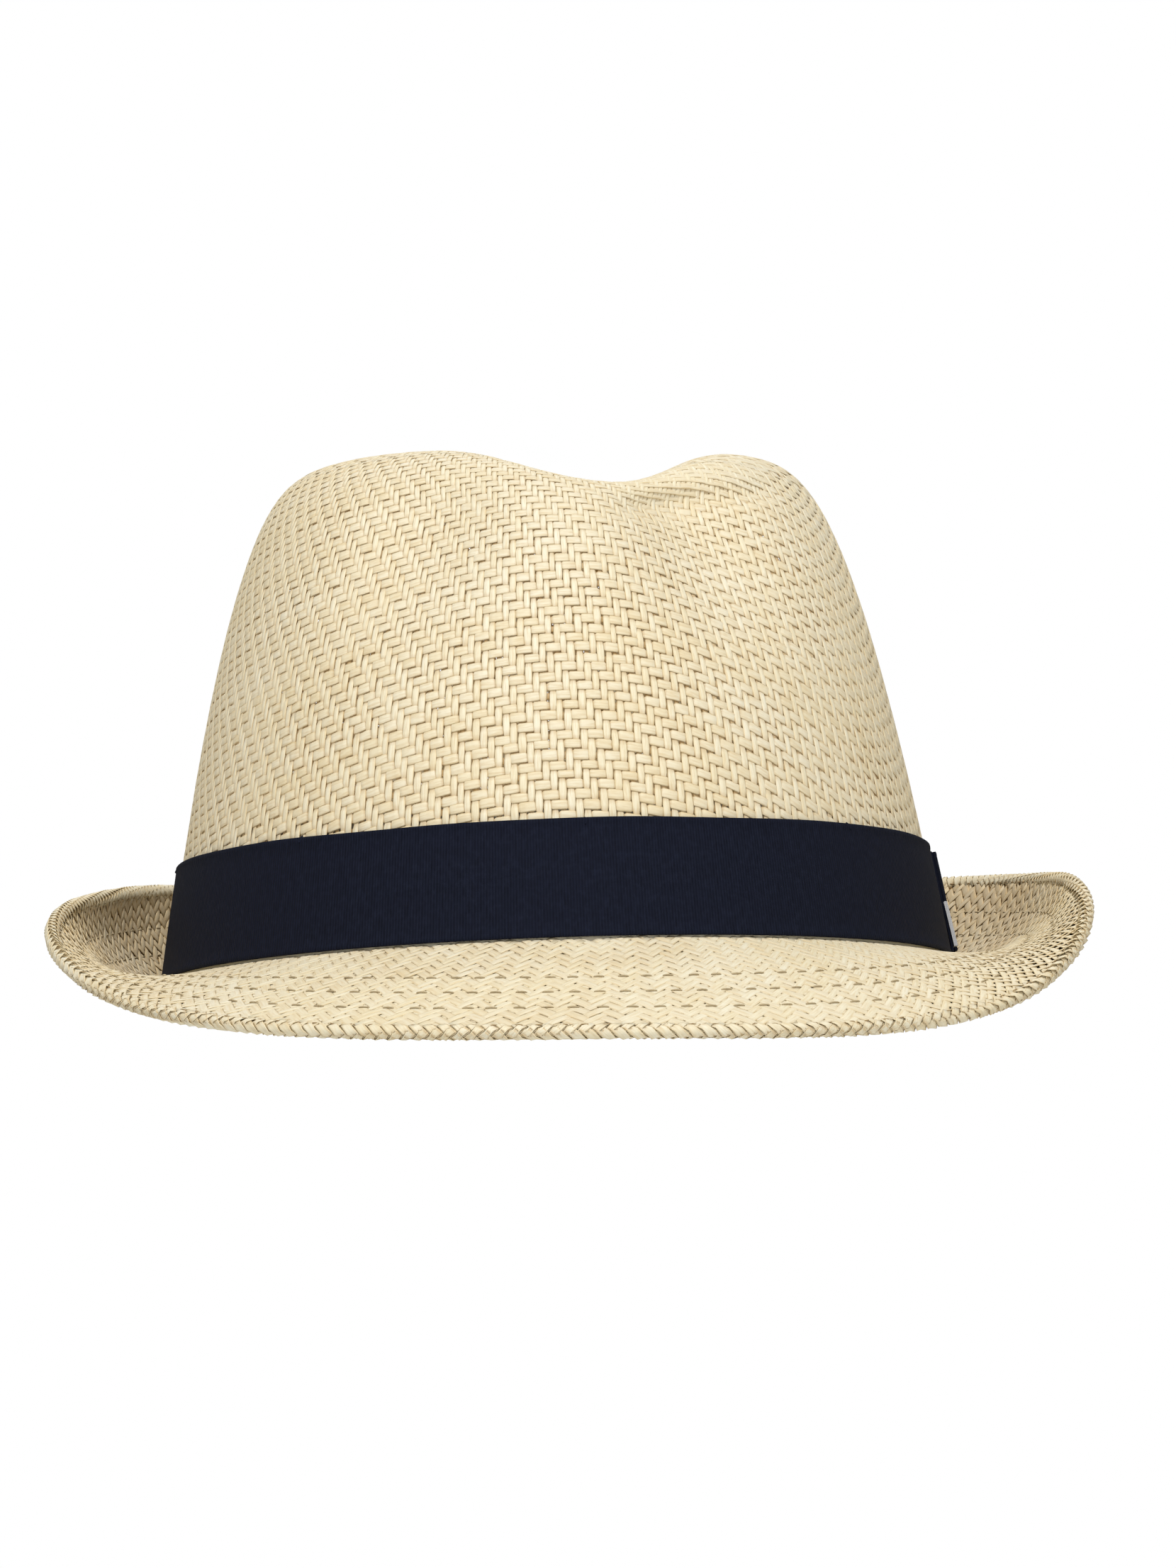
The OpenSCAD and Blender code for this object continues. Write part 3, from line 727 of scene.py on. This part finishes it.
# The interlining is coloured dark tan, as painted shade seen through the gaps in the brim's weave
lining_as_shade = cloth_material("buckram", rgb(0.30, 0.20, 0.085), rgb(0.42, 0.30, 0.14), pitch=0.8)
cotton = cloth_material("cotton_twill", rgb(0.70, 0.65, 0.54), rgb(0.83, 0.79, 0.69), pitch=0.6, angle=0.8)
tape_cloth = cloth_material("cotton_tape", rgb(0.78, 0.75, 0.68), rgb(0.9, 0.88, 0.82), pitch=0.5)
label_cloth = cloth_material("label_satin", rgb(0.84, 0.84, 0.81), rgb(0.93, 0.93, 0.91), pitch=0.35,
                             roughness=0.5, bump=0.15, sheen=0.1)
tag_cloth = cloth_material("tag_weave", rgb(0.42, 0.43, 0.46), rgb(0.62, 0.63, 0.66), pitch=0.4,
                           roughness=0.6)
THREAD = {"pitch": 0.3, "bump": 0.6}
brim_thread = cloth_material("brim_thread", rgb(0.42, 0.33, 0.19), rgb(0.58, 0.48, 0.31), **THREAD)
edge_thread = cloth_material("edge_thread", rgb(0.30, 0.20, 0.09), rgb(0.45, 0.32, 0.16), **THREAD)
seam_thread = cloth_material("seam_thread", rgb(0.66, 0.60, 0.47), rgb(0.8, 0.75, 0.62), **THREAD)
wire_metal = metal_material("wire_steel", (0.62, 0.63, 0.65), 0.35)
joiner_metal = metal_material("joiner_alloy", (0.8, 0.8, 0.78), 0.4)


def finish_piece(obj, material, body="hat"):
    """Gives a piece its material, and makes it ride on a body."""
    obj.data.materials.append(material)
    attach(obj, body)
    return obj


# ---- woven crown: two rings of cloth, the tip's with half the warps, and a square patch in the middle ----
# name, warps, first and last weft down from the middle, and how many pieces each family is split into
CROWN_RINGS = [("wall", 336, 20, 78, 2, 3), ("tip", 168, 10, 20, 1, 1)]
for ring, count, first, last, warp_parts, weft_parts in CROWN_RINGS:
    warp, weft = weave(crown_place(count), np.arange(count + 1), np.arange(first, last + 1), crown_keep,
                       round_it=True, press=crown_press)
    families = [("warp", warp, count, warp_parts), ("weft", weft, last - first, weft_parts)]
    for family, data, total, parts in families:
        for k in range(parts):
            rows = part_of(data, slice(total * k // parts, total * (k + 1) // parts))
            piece = finish_piece(strands(f"crown_{ring}_{family}_{k + 1}", **rows), straw)
            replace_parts(piece, "crown_shell")
PATCH_REACH = 25  # strands on each side of the patch's middle, before it is cut round
patch_at = np.arange(-PATCH_REACH, PATCH_REACH)
for family, data in zip(("warp", "weft"), weave(patch_place, patch_at, patch_at, patch_keep)):
    piece = finish_piece(strands(f"crown_middle_{family}", **data), straw)
    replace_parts(piece, "crown_shell")

# ---- woven brim, two layers ----
BRIM_MID = 0.8  # the strands' middle surface, from the middle of the brim
LAYERS = [("brim_top", 1, straw, "brim_upper"), ("brim_under", -1, under_straw_shaded, "brim_under")]
for side_name, way, cover, node in LAYERS:
    i = np.arange(-BRIM_REACH, BRIM_WARPS + BRIM_REACH)
    j = np.arange(-BRIM_WEFTS - BRIM_REACH, BRIM_REACH)
    warp, weft = weave(brim_place(way * BRIM_MID), i, j, brim_keep, relief=BRIM_RELIEF, sink=brim_sink(way),
                       press=brim_press, painted_shade=BRIM_PAINTED_SHADE)
    warp = part_of(warp, (i >= 0) & (i < BRIM_WARPS))
    weft = part_of(weft, (j >= -BRIM_WEFTS) & (j < 0))
    for family, data in (("warp", warp), ("weft", weft)):
        piece = finish_piece(strands(f"{side_name}_{family}", **data), cover)
        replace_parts(piece, node)

# ---- folded edge of the brim, woven on the slant ----
# The fold's upper half, as distance back from the edge and height over the brim's middle, and its nose
NOSE_BACK, NOSE_LONG, NOSE_HIGH = 1.3, 1.25, 1.2
EDGE_PROFILE = [(2.4, 1.02), (1.9, 1.17), (NOSE_BACK, NOSE_HIGH)]
nose = [(NOSE_BACK - NOSE_LONG * math.sin(a), NOSE_HIGH * math.cos(a))
        for a in np.linspace(0, math.pi, 15)[1:-1]]
profile = np.array(EDGE_PROFILE + nose + [(b, -o) for b, o in EDGE_PROFILE[::-1]])
profile_q = arc(profile[:, 0], profile[:, 1])
EDGE_Q = profile_q[-1]


def edge_pt(t, q, h):
    """A point on the folded edge: t round the hat, q along the fold's section from its top, h out of it."""
    q = np.clip(q, 0, EDGE_Q)
    e = 0.15
    place = [np.interp(q, profile_q, profile[:, k]) for k in (0, 1)]
    ahead = [np.interp(np.minimum(q + e, EDGE_Q), profile_q, profile[:, k]) for k in (0, 1)]
    behind = [np.interp(np.maximum(q - e, 0), profile_q, profile[:, k]) for k in (0, 1)]
    d = unit(vec(ahead[0] - behind[0], ahead[1] - behind[1]))
    back = place[0] + h * d[..., 1]
    off = place[1] - h * d[..., 0]
    return brim_pt(t, brim_full(t) - back, off)


EDGE_LOOP = 768.0  # length round the edge
EDGE_RELIEF = 0.15
EDGE_THICK = 0.26
EDGE_FILL, EDGE_DIVE_SHADE = 0.95, 0.4  # part of its room a strand fills, and how much painted shade darkens it where it dives


def edge_family(name, way, count, other):
    """One family of the slanted strands. Along each, the length round the edge + way * q stays the same."""
    pitch = EDGE_LOOP / math.sqrt(2) / count
    across_pitch = EDGE_LOOP / math.sqrt(2) / other
    k = np.arange(count)[:, None]
    start = math.sqrt(2) * k * pitch
    reach = int(EDGE_Q * math.sqrt(2) / across_pitch) + 3
    first = np.floor(start / math.sqrt(2) / across_pitch).astype(int)
    if way > 0:
        first = first - reach + 1
    l = first + np.arange(reach + 1)[None, :]
    cross = math.sqrt(2) * l * across_pitch
    q = (start - cross) / 2 if way > 0 else (cross - start) / 2
    step = across_pitch / math.sqrt(2)
    valid = (q > -step) & (q < EDGE_Q + step)
    q = np.clip(q, 0, EDGE_Q)
    t = (start - way * q) / EDGE_LOOP * TAU
    up = ((k - l) % 4 < 2) if way > 0 else ((l - k) % 4 >= 2)
    h = np.where(up, EDGE_RELIEF, -EDGE_RELIEF)
    p = edge_pt(t, q, h)
    n = unit(edge_pt(t, q, h + 0.2) - p)
    tint = np.broadcast_to(rng.uniform(0, 1, (count, 1)), q.shape)
    width, thick = np.full(q.shape, pitch * EDGE_FILL), np.full(q.shape, EDGE_THICK)
    return strands(name, p, n, width, thick, valid, tint, np.where(up, 0.0, EDGE_DIVE_SHADE))


for name, way, count, other in (("edge_fold_warp", 1, 300, 260), ("edge_fold_weft", -1, 260, 300)):
    piece = finish_piece(edge_family(name, way, count, other), straw)
    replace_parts(piece, "edge_braid")

# ---- plain core inside the fold, and the crown's foot behind the ribbon ----
around = np.linspace(0, TAU, 240, endpoint=False)
CORE_OUT, CORE_IN = -0.22, -0.42  # the core's two faces, from the fold's middle surface
FOOT_OUT, FOOT_IN, FOOT_LOW, FOOT_HIGH = -0.4, -0.9, -0.2, 24
core = thin_sections(edge_pt, around, np.linspace(0, EDGE_Q, 26), CORE_OUT, CORE_IN)
finish_piece(loft("edge_fold_core", core[:, ::-1]), under_straw_shaded)
foot = thin_sections(wall, around, np.linspace(FOOT_LOW, FOOT_HIGH, 8), FOOT_OUT, FOOT_IN)
finish_piece(loft("crown_foot", foot), straw)


# ---- stitches ----
def stitches(name, p0, p1, up, radius, lift):
    """Short threads from p0 to p1, bowed up by lift, each a closed tube whose ends dip into the cloth."""
    f = np.array([0.0, 0.12, 0.5, 0.88, 1.0])[None, :, None]
    rise = np.array([-1.0, 0.35, 1.0, 0.35, -1.0])[None, :, None] * lift
    centre = p0[:, None] * (1 - f) + p1[:, None] * f + up[:, None] * rise
    normal = np.broadcast_to(up[:, None], centre.shape)
    size = np.full(centre.shape[:2], radius * 2)
    a = np.arange(6) / 6 * TAU
    ring = np.stack([np.cos(a) / 2, np.sin(a) / 2], -1)
    whole, blank = np.ones(size.shape, bool), np.zeros(size.shape)
    return strands(name, centre, normal, size, size, whole, blank, blank, section=ring)


def brim_stitches(name, back, off, length, period, radius, lift, loop):
    """A row of stitches, back from the brim's edge and off its middle surface, one every period."""
    n = int(loop / period)
    mid = (np.arange(n) + rng.uniform(-0.08, 0.08, n)) / n * TAU
    half = length / 2 / (loop / TAU)
    p0, p1 = (brim_pt(t, brim_full(t) - back, off) for t in (mid - half, mid + half))
    top = brim_pt(mid, brim_full(mid) - back, off + math.copysign(0.5, off))
    return stitches(name, p0, p1, unit(top - (p0 + p1) / 2), radius, lift)


ROW_OFF, ROW_LOOP = 1.02, 700.0  # over the brim's middle surface, and length round it
EDGE_ROW_BACK, EDGE_ROW_OFF, EDGE_ROW_LOOP = 2.1, 1.2, 760.0
SIDES = (("top", 1), ("under", -1))
for row, back in zip(("outer", "middle", "inner"), ROW_BACKS):
    for side_name, way in SIDES:
        piece = brim_stitches(f"row_{row}_{side_name}", back, way * ROW_OFF, length=2.2, period=5.2,
                              radius=0.16, lift=0.12, loop=ROW_LOOP)
        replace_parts(finish_piece(piece, brim_thread), f"stitch_row_{row}")
for side_name, way in SIDES:
    piece = brim_stitches(f"edge_row_{side_name}", EDGE_ROW_BACK, way * EDGE_ROW_OFF, length=1.6,
                          period=4.2, radius=0.14, lift=0.1, loop=EDGE_ROW_LOOP)
    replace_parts(finish_piece(piece, edge_thread), "edge_stitch")

# ---- ribbon band ----
RIBBON_IN, RIBBON_FLAT, RIBBON_WAVE = 0.35, 0.9, 0.15
# The lower half of the ribbon's outer face, as offset from the wall and height: a corded edge, then flat
RIBBON_FACE = [(RIBBON_IN, 0.0), (RIBBON_FLAT, 0.0), (1.02, 0.2), (1.05, 0.6), (1.0, 1.0), (0.92, 1.2),
               (RIBBON_FLAT, 3), (RIBBON_FLAT, 7.5), (RIBBON_FLAT, RIBBON_H / 2)]
section = RIBBON_FACE + [(o, RIBBON_H - z) for o, z in RIBBON_FACE[-2::-1]]
section += [(RIBBON_IN, RIBBON_H * f) for f in (0.75, 0.5, 0.25)]


def ribbon_ring(name, section, count=480):
    """The band, which starts and ends under the bow, with slightly uneven edges."""
    t = BOW_MID + np.linspace(0, TAU, count, endpoint=False)
    ripple = RIBBON_WAVE * (np.sin(3 * t + 1) + 0.6 * np.sin(7 * t + 2) + 0.4 * np.sin(13 * t))
    outline = [(o, RIBBON_Z + z + ripple * z / RIBBON_H) for o, z in section]
    along = np.repeat(arc(np.cos(t) * 83, np.sin(t) * 103), len(section))
    across = np.tile([z for o, z in section], count)
    return loft(name, round_wall(t, outline), attributes={"along": along, "across": across})


band = finish_piece(ribbon_ring("ribbon_band_cloth", section), navy)
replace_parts(band, "ribbon_band")
band_len = length_round(13, 0.95)

# ---- flat bow on the wearer's left ----
BOW_R = ARC_R * 1.4  # radius of the wall's curve at the bow


def bow_angle(s):
    return BOW_MID + s / BOW_R


def resampled(path, step):
    """Points every step or so along a path, and their lengths from its start."""
    path = np.array(path, float)
    d = arc(path[:, 0], path[:, 1])
    q = np.linspace(0, d[-1], max(int(d[-1] / step), 2) + 1)
    return np.stack([np.interp(q, d, path[:, k]) for k in (0, 1)], -1), q


CORNER = 0.5  # how far the bow's front upper corner droops
BOW_STEP = 0.8


def bow_strip(name, path, z_low, z_high, thick=BOW_T):
    """A strip that stands on the wall, along a path of lengths from the bow's middle and offsets from the
    wall. Its two long edges are corded. Returns the piece and the path's length."""
    path, q = resampled(path, BOW_STEP)
    d = unit(np.gradient(path, axis=0))
    side = np.stack([d[:, 1], -d[:, 0]], -1) * thick / 2
    z = z_low + (z_high - z_low) * np.array([0, 0.02, 0.05, 0.25, 0.5, 0.75, 0.95, 0.98, 1])
    bulge = np.array([0.7, 1.15, 0.9, 0.85, 0.85, 0.85, 0.9, 1.15, 0.7])
    rings = []
    for sign in (1, -1):
        for k in (range(len(z)) if sign > 0 else range(len(z) - 1, -1, -1)):
            p = path + side * sign * bulge[k]
            f = (z[k] - z_low) / (z_high - z_low)
            drop = CORNER * smooth((-p[:, 0] - TAIL_HALF + 6) / 6) * smooth((f - 0.6) / 0.4)
            flare = BOW_FLARE * smooth((-p[:, 0] - 8) / 24) * (1 - f)
            rings.append(wall(bow_angle(p[:, 0]), z[k] - drop, p[:, 1] + flare))
    sections = np.stack(rings, axis=1)
    m = sections.shape[1]
    across = np.tile(np.concatenate([z, z[::-1]]) - z_low, len(q))
    attributes = {"along": np.repeat(q, m), "across": across}
    return loft(name, sections, closed=False, attributes=attributes), q[-1]


TAIL_OFF = RIBBON_OUT + 0.1 + BOW_T / 2
LOOP_IN = TAIL_OFF + BOW_T + 0.1
LOOP_OUT = LOOP_IN + 0.8
KEEPER_OUT = LOOP_OUT + BOW_T + 0.2

tail, tail_len = bow_strip("bow_tail_cloth", [(-TAIL_HALF, TAIL_OFF), (TAIL_HALF, TAIL_OFF)],
                           BOW_Z + 0.6, RIBBON_TOP - 0.6)
loop_r, loop_mid = (LOOP_OUT - LOOP_IN) / 2, (LOOP_OUT + LOOP_IN) / 2
turn_at = np.radians(np.arange(-75, 76, 15))
loop_path = [(0.4, LOOP_IN), (LOOP_HALF, LOOP_IN)]
loop_path += [(LOOP_HALF + loop_r * math.cos(a), loop_mid + loop_r * math.sin(a)) for a in turn_at]
loop_path += [(LOOP_HALF, LOOP_OUT), (9, LOOP_OUT + 0.1), (0, LOOP_OUT - 0.15), (-9, LOOP_OUT + 0.1),
              (-LOOP_HALF, LOOP_OUT)]
loop_path += [(-LOOP_HALF - loop_r * math.cos(a), loop_mid + loop_r * math.sin(a)) for a in turn_at[::-1]]
loop_path += [(-LOOP_HALF, LOOP_IN), (-0.4, LOOP_IN)]
loop, loop_len = bow_strip("bow_loop_cloth", loop_path, BOW_Z + 0.8, RIBBON_TOP - 1)
for piece, length, node, height in ((tail, tail_len, "bow_tail", RIBBON_TOP - BOW_Z - 1.2),
                                    (loop, loop_len, "bow_loop", RIBBON_TOP - BOW_Z - 1.8)):
    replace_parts(finish_piece(piece, navy), node)


def keeper():
    """The short band that wraps the loop's middle, with its ends tucked in behind the ribbon's edges."""
    low, high = BOW_Z, RIBBON_TOP + 0.2
    face = KEEPER_OUT + BOW_T
    inner = RIBBON_OUT + 0.2
    bend, half_bend = 0.6, 0.15
    corner = [(inner, 0), (face - bend, 0), (face - half_bend, half_bend), (face, bend)]
    outline = [(o, low + z) for o, z in corner]
    outline += [(face, z) for z in np.linspace(low + 3, high - 3, 6)]
    outline += [(o, high - z) for o, z in corner[::-1]]
    back = face - BOW_T
    outline += [(inner, high - BOW_T), (back, high - BOW_T), (back, low + BOW_T), (inner, low + BOW_T)]
    s = np.linspace(-KEEPER_HALF, KEEPER_HALF, 15)
    run = arc(*np.array(outline).T)
    return loft("bow_keeper_cloth", round_wall(bow_angle(s), outline), closed=False,
                attributes={"along": np.tile(run, len(s)), "across": np.repeat(s, len(outline))})


piece = finish_piece(keeper(), navy)
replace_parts(piece, "bow_keeper")

# ---- blank tag, folded in two against the bow's front edge ----
tag_in = TAIL_OFF + BOW_T / 2 + 0.1 + TAG_T / 2
tag_r = (TAG_T + TAG_OPEN) / 2
tag_back, tag_front = -LOOP_HALF - 1.8, -TAIL_HALF - 0.6
tag_path = [(tag_back, tag_in), (tag_front, tag_in)]
tag_path += [(tag_front - tag_r * math.cos(a), tag_in + tag_r + tag_r * math.sin(a)) for a in turn_at]
tag_path += [(tag_front, tag_in + 2 * tag_r), (tag_back, tag_in + 2 * tag_r)]
tag, tag_len = bow_strip("side_tag_cloth", tag_path, BOW_Z + 1.5, BOW_Z + 1.5 + TAG_H, thick=TAG_T)
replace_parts(finish_piece(tag, tag_cloth), "side_tag")

# ---- hand stitches along the ribbon's upper edge ----
tack_at = np.radians([0.0, 45, 158, 202, 270, 315])
tack_from = wall(tack_at, RIBBON_TOP - 1.3, 1.1)
tack_to = wall(tack_at, RIBBON_TOP + 0.35, 0.35)
tack_up = crown_normal(tack_at, 0.25)
tacks = stitches("ribbon_tacks_thread", tack_from, tack_to, tack_up, radius=0.16, lift=0.1)
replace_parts(finish_piece(tacks, navy), "ribbon_tacks")


# ---- care label: hangs flat from its sewn upper edge ----
def label(low, high):
    """A hemmed rectangle that fills the CAD label's box from low to high."""
    width, length, thick = (high.x - low.x) / MM, (high.z - low.z) / MM, (high.y - low.y) / MM
    y = (high.y + low.y) / 2 / MM
    x = np.linspace(-width / 2, width / 2, 23)
    z = np.linspace(low.z / MM, high.z / MM, 12)
    hem = [0.75, 1.3, 1.0] + [0.8] * 6 + [1.0, 1.3, 0.75]
    front = [vec(x, y - thick / 2 * h, level) for level, h in zip(z, hem)]
    back = [vec(x, y + thick / 2 * h, level) for level, h in zip(z[::-1], hem)]
    return loft("care_label_cloth", np.stack(front + back, axis=1), closed=False)


piece = finish_piece(label(*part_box("care_label")), label_cloth, "label_flap")
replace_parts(piece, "care_label")

# ---- sweatband ----
GROOVE = 0.12  # depth of the two stitched grooves in the band's inner face
JOIN_GAP = 0.004  # half the gap between the band's ends at the back, in radians
# Offset from the wall and height: up the outer face, over the rounded top, and down the inner face
SWEAT_SECTION = [(BAND_OFF, SWEAT_LOW), (BAND_OFF, 8), (BAND_OFF, 16), (BAND_OFF, 24), (BAND_OFF, 29.6),
                 (-2.1, SWEAT_TOP), (-2.5, SWEAT_TOP), (BAND_IN, 29.6), (BAND_IN, 28.6),
                 (BAND_IN + GROOVE, 28.3), (BAND_IN, 28), (BAND_IN, 16), (BAND_IN, 4),
                 (BAND_IN + GROOVE, 3.6), (BAND_IN, 3.2), (BAND_IN, 0.8), (-2.5, SWEAT_LOW)]
band_at = np.linspace(-math.pi + JOIN_GAP, math.pi - JOIN_GAP, 361)
sweat_sections = round_wall(band_at, SWEAT_SECTION)
band = finish_piece(loft("sweatband_cloth", sweat_sections, closed=False), cotton)
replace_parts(band, "sweatband")
sweat_len = length_round(15, -2.3)

# ---- piping, seam, tape and label stitches of the sweatband ----
PIPING_R, SEAM_Z, SEAM_OFF = 1.0, 3.0, -1.5
TAPE_IN, TAPE_T, TAPE_LOW, TAPE_HIGH = -1.7, 0.3, 5, 27
ring_at = np.linspace(0, TAU, 480, endpoint=False)
flat_out = unit(vec(CROWN_HALF_L * np.sin(ring_at), -CROWN_HALF_W * np.cos(ring_at), 0 * ring_at))
piping_mid = wall(ring_at, SWEAT_LOW, BAND_OFF - 0.4) - np.array([0, 0, PIPING_R + 0.1])
piping_size = PIPING_R * (0.97 + 0.03 * np.sin(160 * ring_at))[:, None]
piping = np.stack([piping_mid + piping_size * (math.cos(a) * flat_out + np.array([0, 0, math.sin(a)]))
                   for a in np.linspace(0, TAU, 12, endpoint=False)], axis=1)
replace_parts(finish_piece(loft("sweatband_piping_cover", piping), cotton), "sweatband_piping")

seam_at = np.arange(130) / 130 * TAU
seam_from, seam_to = (wall(seam_at + turn, SEAM_Z, SEAM_OFF) for turn in (-0.017, 0.017))
seam_up = -crown_normal(seam_at, 0.03)
seam = stitches("joint_stitch_thread", seam_from, seam_to, seam_up, radius=0.2, lift=0.1)
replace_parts(finish_piece(seam, seam_thread), "joint_stitch")

tape_at = np.radians(np.linspace(177, 183, 9))
tape = thin_sections(wall, tape_at, np.linspace(TAPE_LOW, TAPE_HIGH, 9), TAPE_IN, TAPE_IN + TAPE_T)
piece = finish_piece(loft("sweatband_join_cloth", tape, closed=False), tape_cloth)
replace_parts(piece, "sweatband_join_tape")

low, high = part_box("label_stitch")
stitch_x = np.linspace(low.x / MM, high.x / MM, 8)[:-1]
stitch_y, stitch_z = (low.y + high.y) / 2 / MM, (low.z + high.z) / 2 / MM
row_from, row_to = (vec(stitch_x + start, stitch_y, stitch_z) for start in (0.3, 2.1))
row_up = vec(0 * stitch_x, -1, 0)
label_row = stitches("label_stitch_thread", row_from, row_to, row_up, radius=0.2, lift=0.05)
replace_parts(finish_piece(label_row, seam_thread), "label_stitch")

# ---- CAD nodes carried over as they are, with materials ----
CAD_LOOKS = {"brim_interlining": lining_as_shade, "edge_wire": wire_metal, "wire_joiner": joiner_metal}
for node, look in CAD_LOOKS.items():
    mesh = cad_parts[node].data
    mesh.materials.clear()
    mesh.materials.append(look)

# ---- floor and lights ----
FLOOR_Z, FLOOR_R = -0.2, 2.5
floor_at = np.linspace(0, TAU, 96, endpoint=False)
floor_rim = vec(FLOOR_R * np.cos(floor_at), FLOOR_R * np.sin(floor_at), FLOOR_Z)
floor = new_object("floor", floor_rim / MM, [list(range(len(floor_rim)))])
paint, tree, bsdf = new_material("floor_paint")
speckled = mix(tree, noise(tree, 6.0, 2.0), rgb(0.84, 0.84, 0.83), rgb(0.88, 0.88, 0.87))
set_inputs(tree, bsdf, {"Base Color": speckled, "Roughness": 0.8})
floor.data.materials.append(paint)


def area_light(name, place, size, power, aim=(0, 0, 0.04)):
    data = bpy.data.lights.new(name, "AREA")
    data.shape = "SQUARE"
    data.size, data.energy = size, power
    lamp = bpy.data.objects.new(name, data)
    lamp.location = place
    lamp.rotation_euler = (Vector(aim) - Vector(place)).to_track_quat("-Z", "Y").to_euler()
    scene.collection.objects.link(lamp)


area_light("key", (-0.2, -1.15, 1.8), 0.7, 30)
area_light("fill", (0.3, -2.0, 0.5), 1.0, 8)
area_light("back", (0.2, 1.5, 1.7), 1.0, 6)

# ---- world: soft warm light, seen as plain white ----
world = bpy.data.worlds.new("studio")
world.use_nodes = True
scene.world = world
tree = world.node_tree
glow = tree.nodes["Background"]
set_inputs(tree, glow, {"Color": rgb(1.0, 0.985, 0.95), "Strength": 0.4})
seen = add(tree, "Background", {"Color": rgb(1, 1, 1), "Strength": 1.0})
choose = add(tree, "MixShader", {0: add(tree, "LightPath").outputs["Is Camera Ray"],
                                 1: glow.outputs[0], 2: seen.outputs[0]})
set_inputs(tree, tree.nodes["World Output"], {"Surface": choose.outputs[0]})
scene.view_settings.view_transform = "Standard"
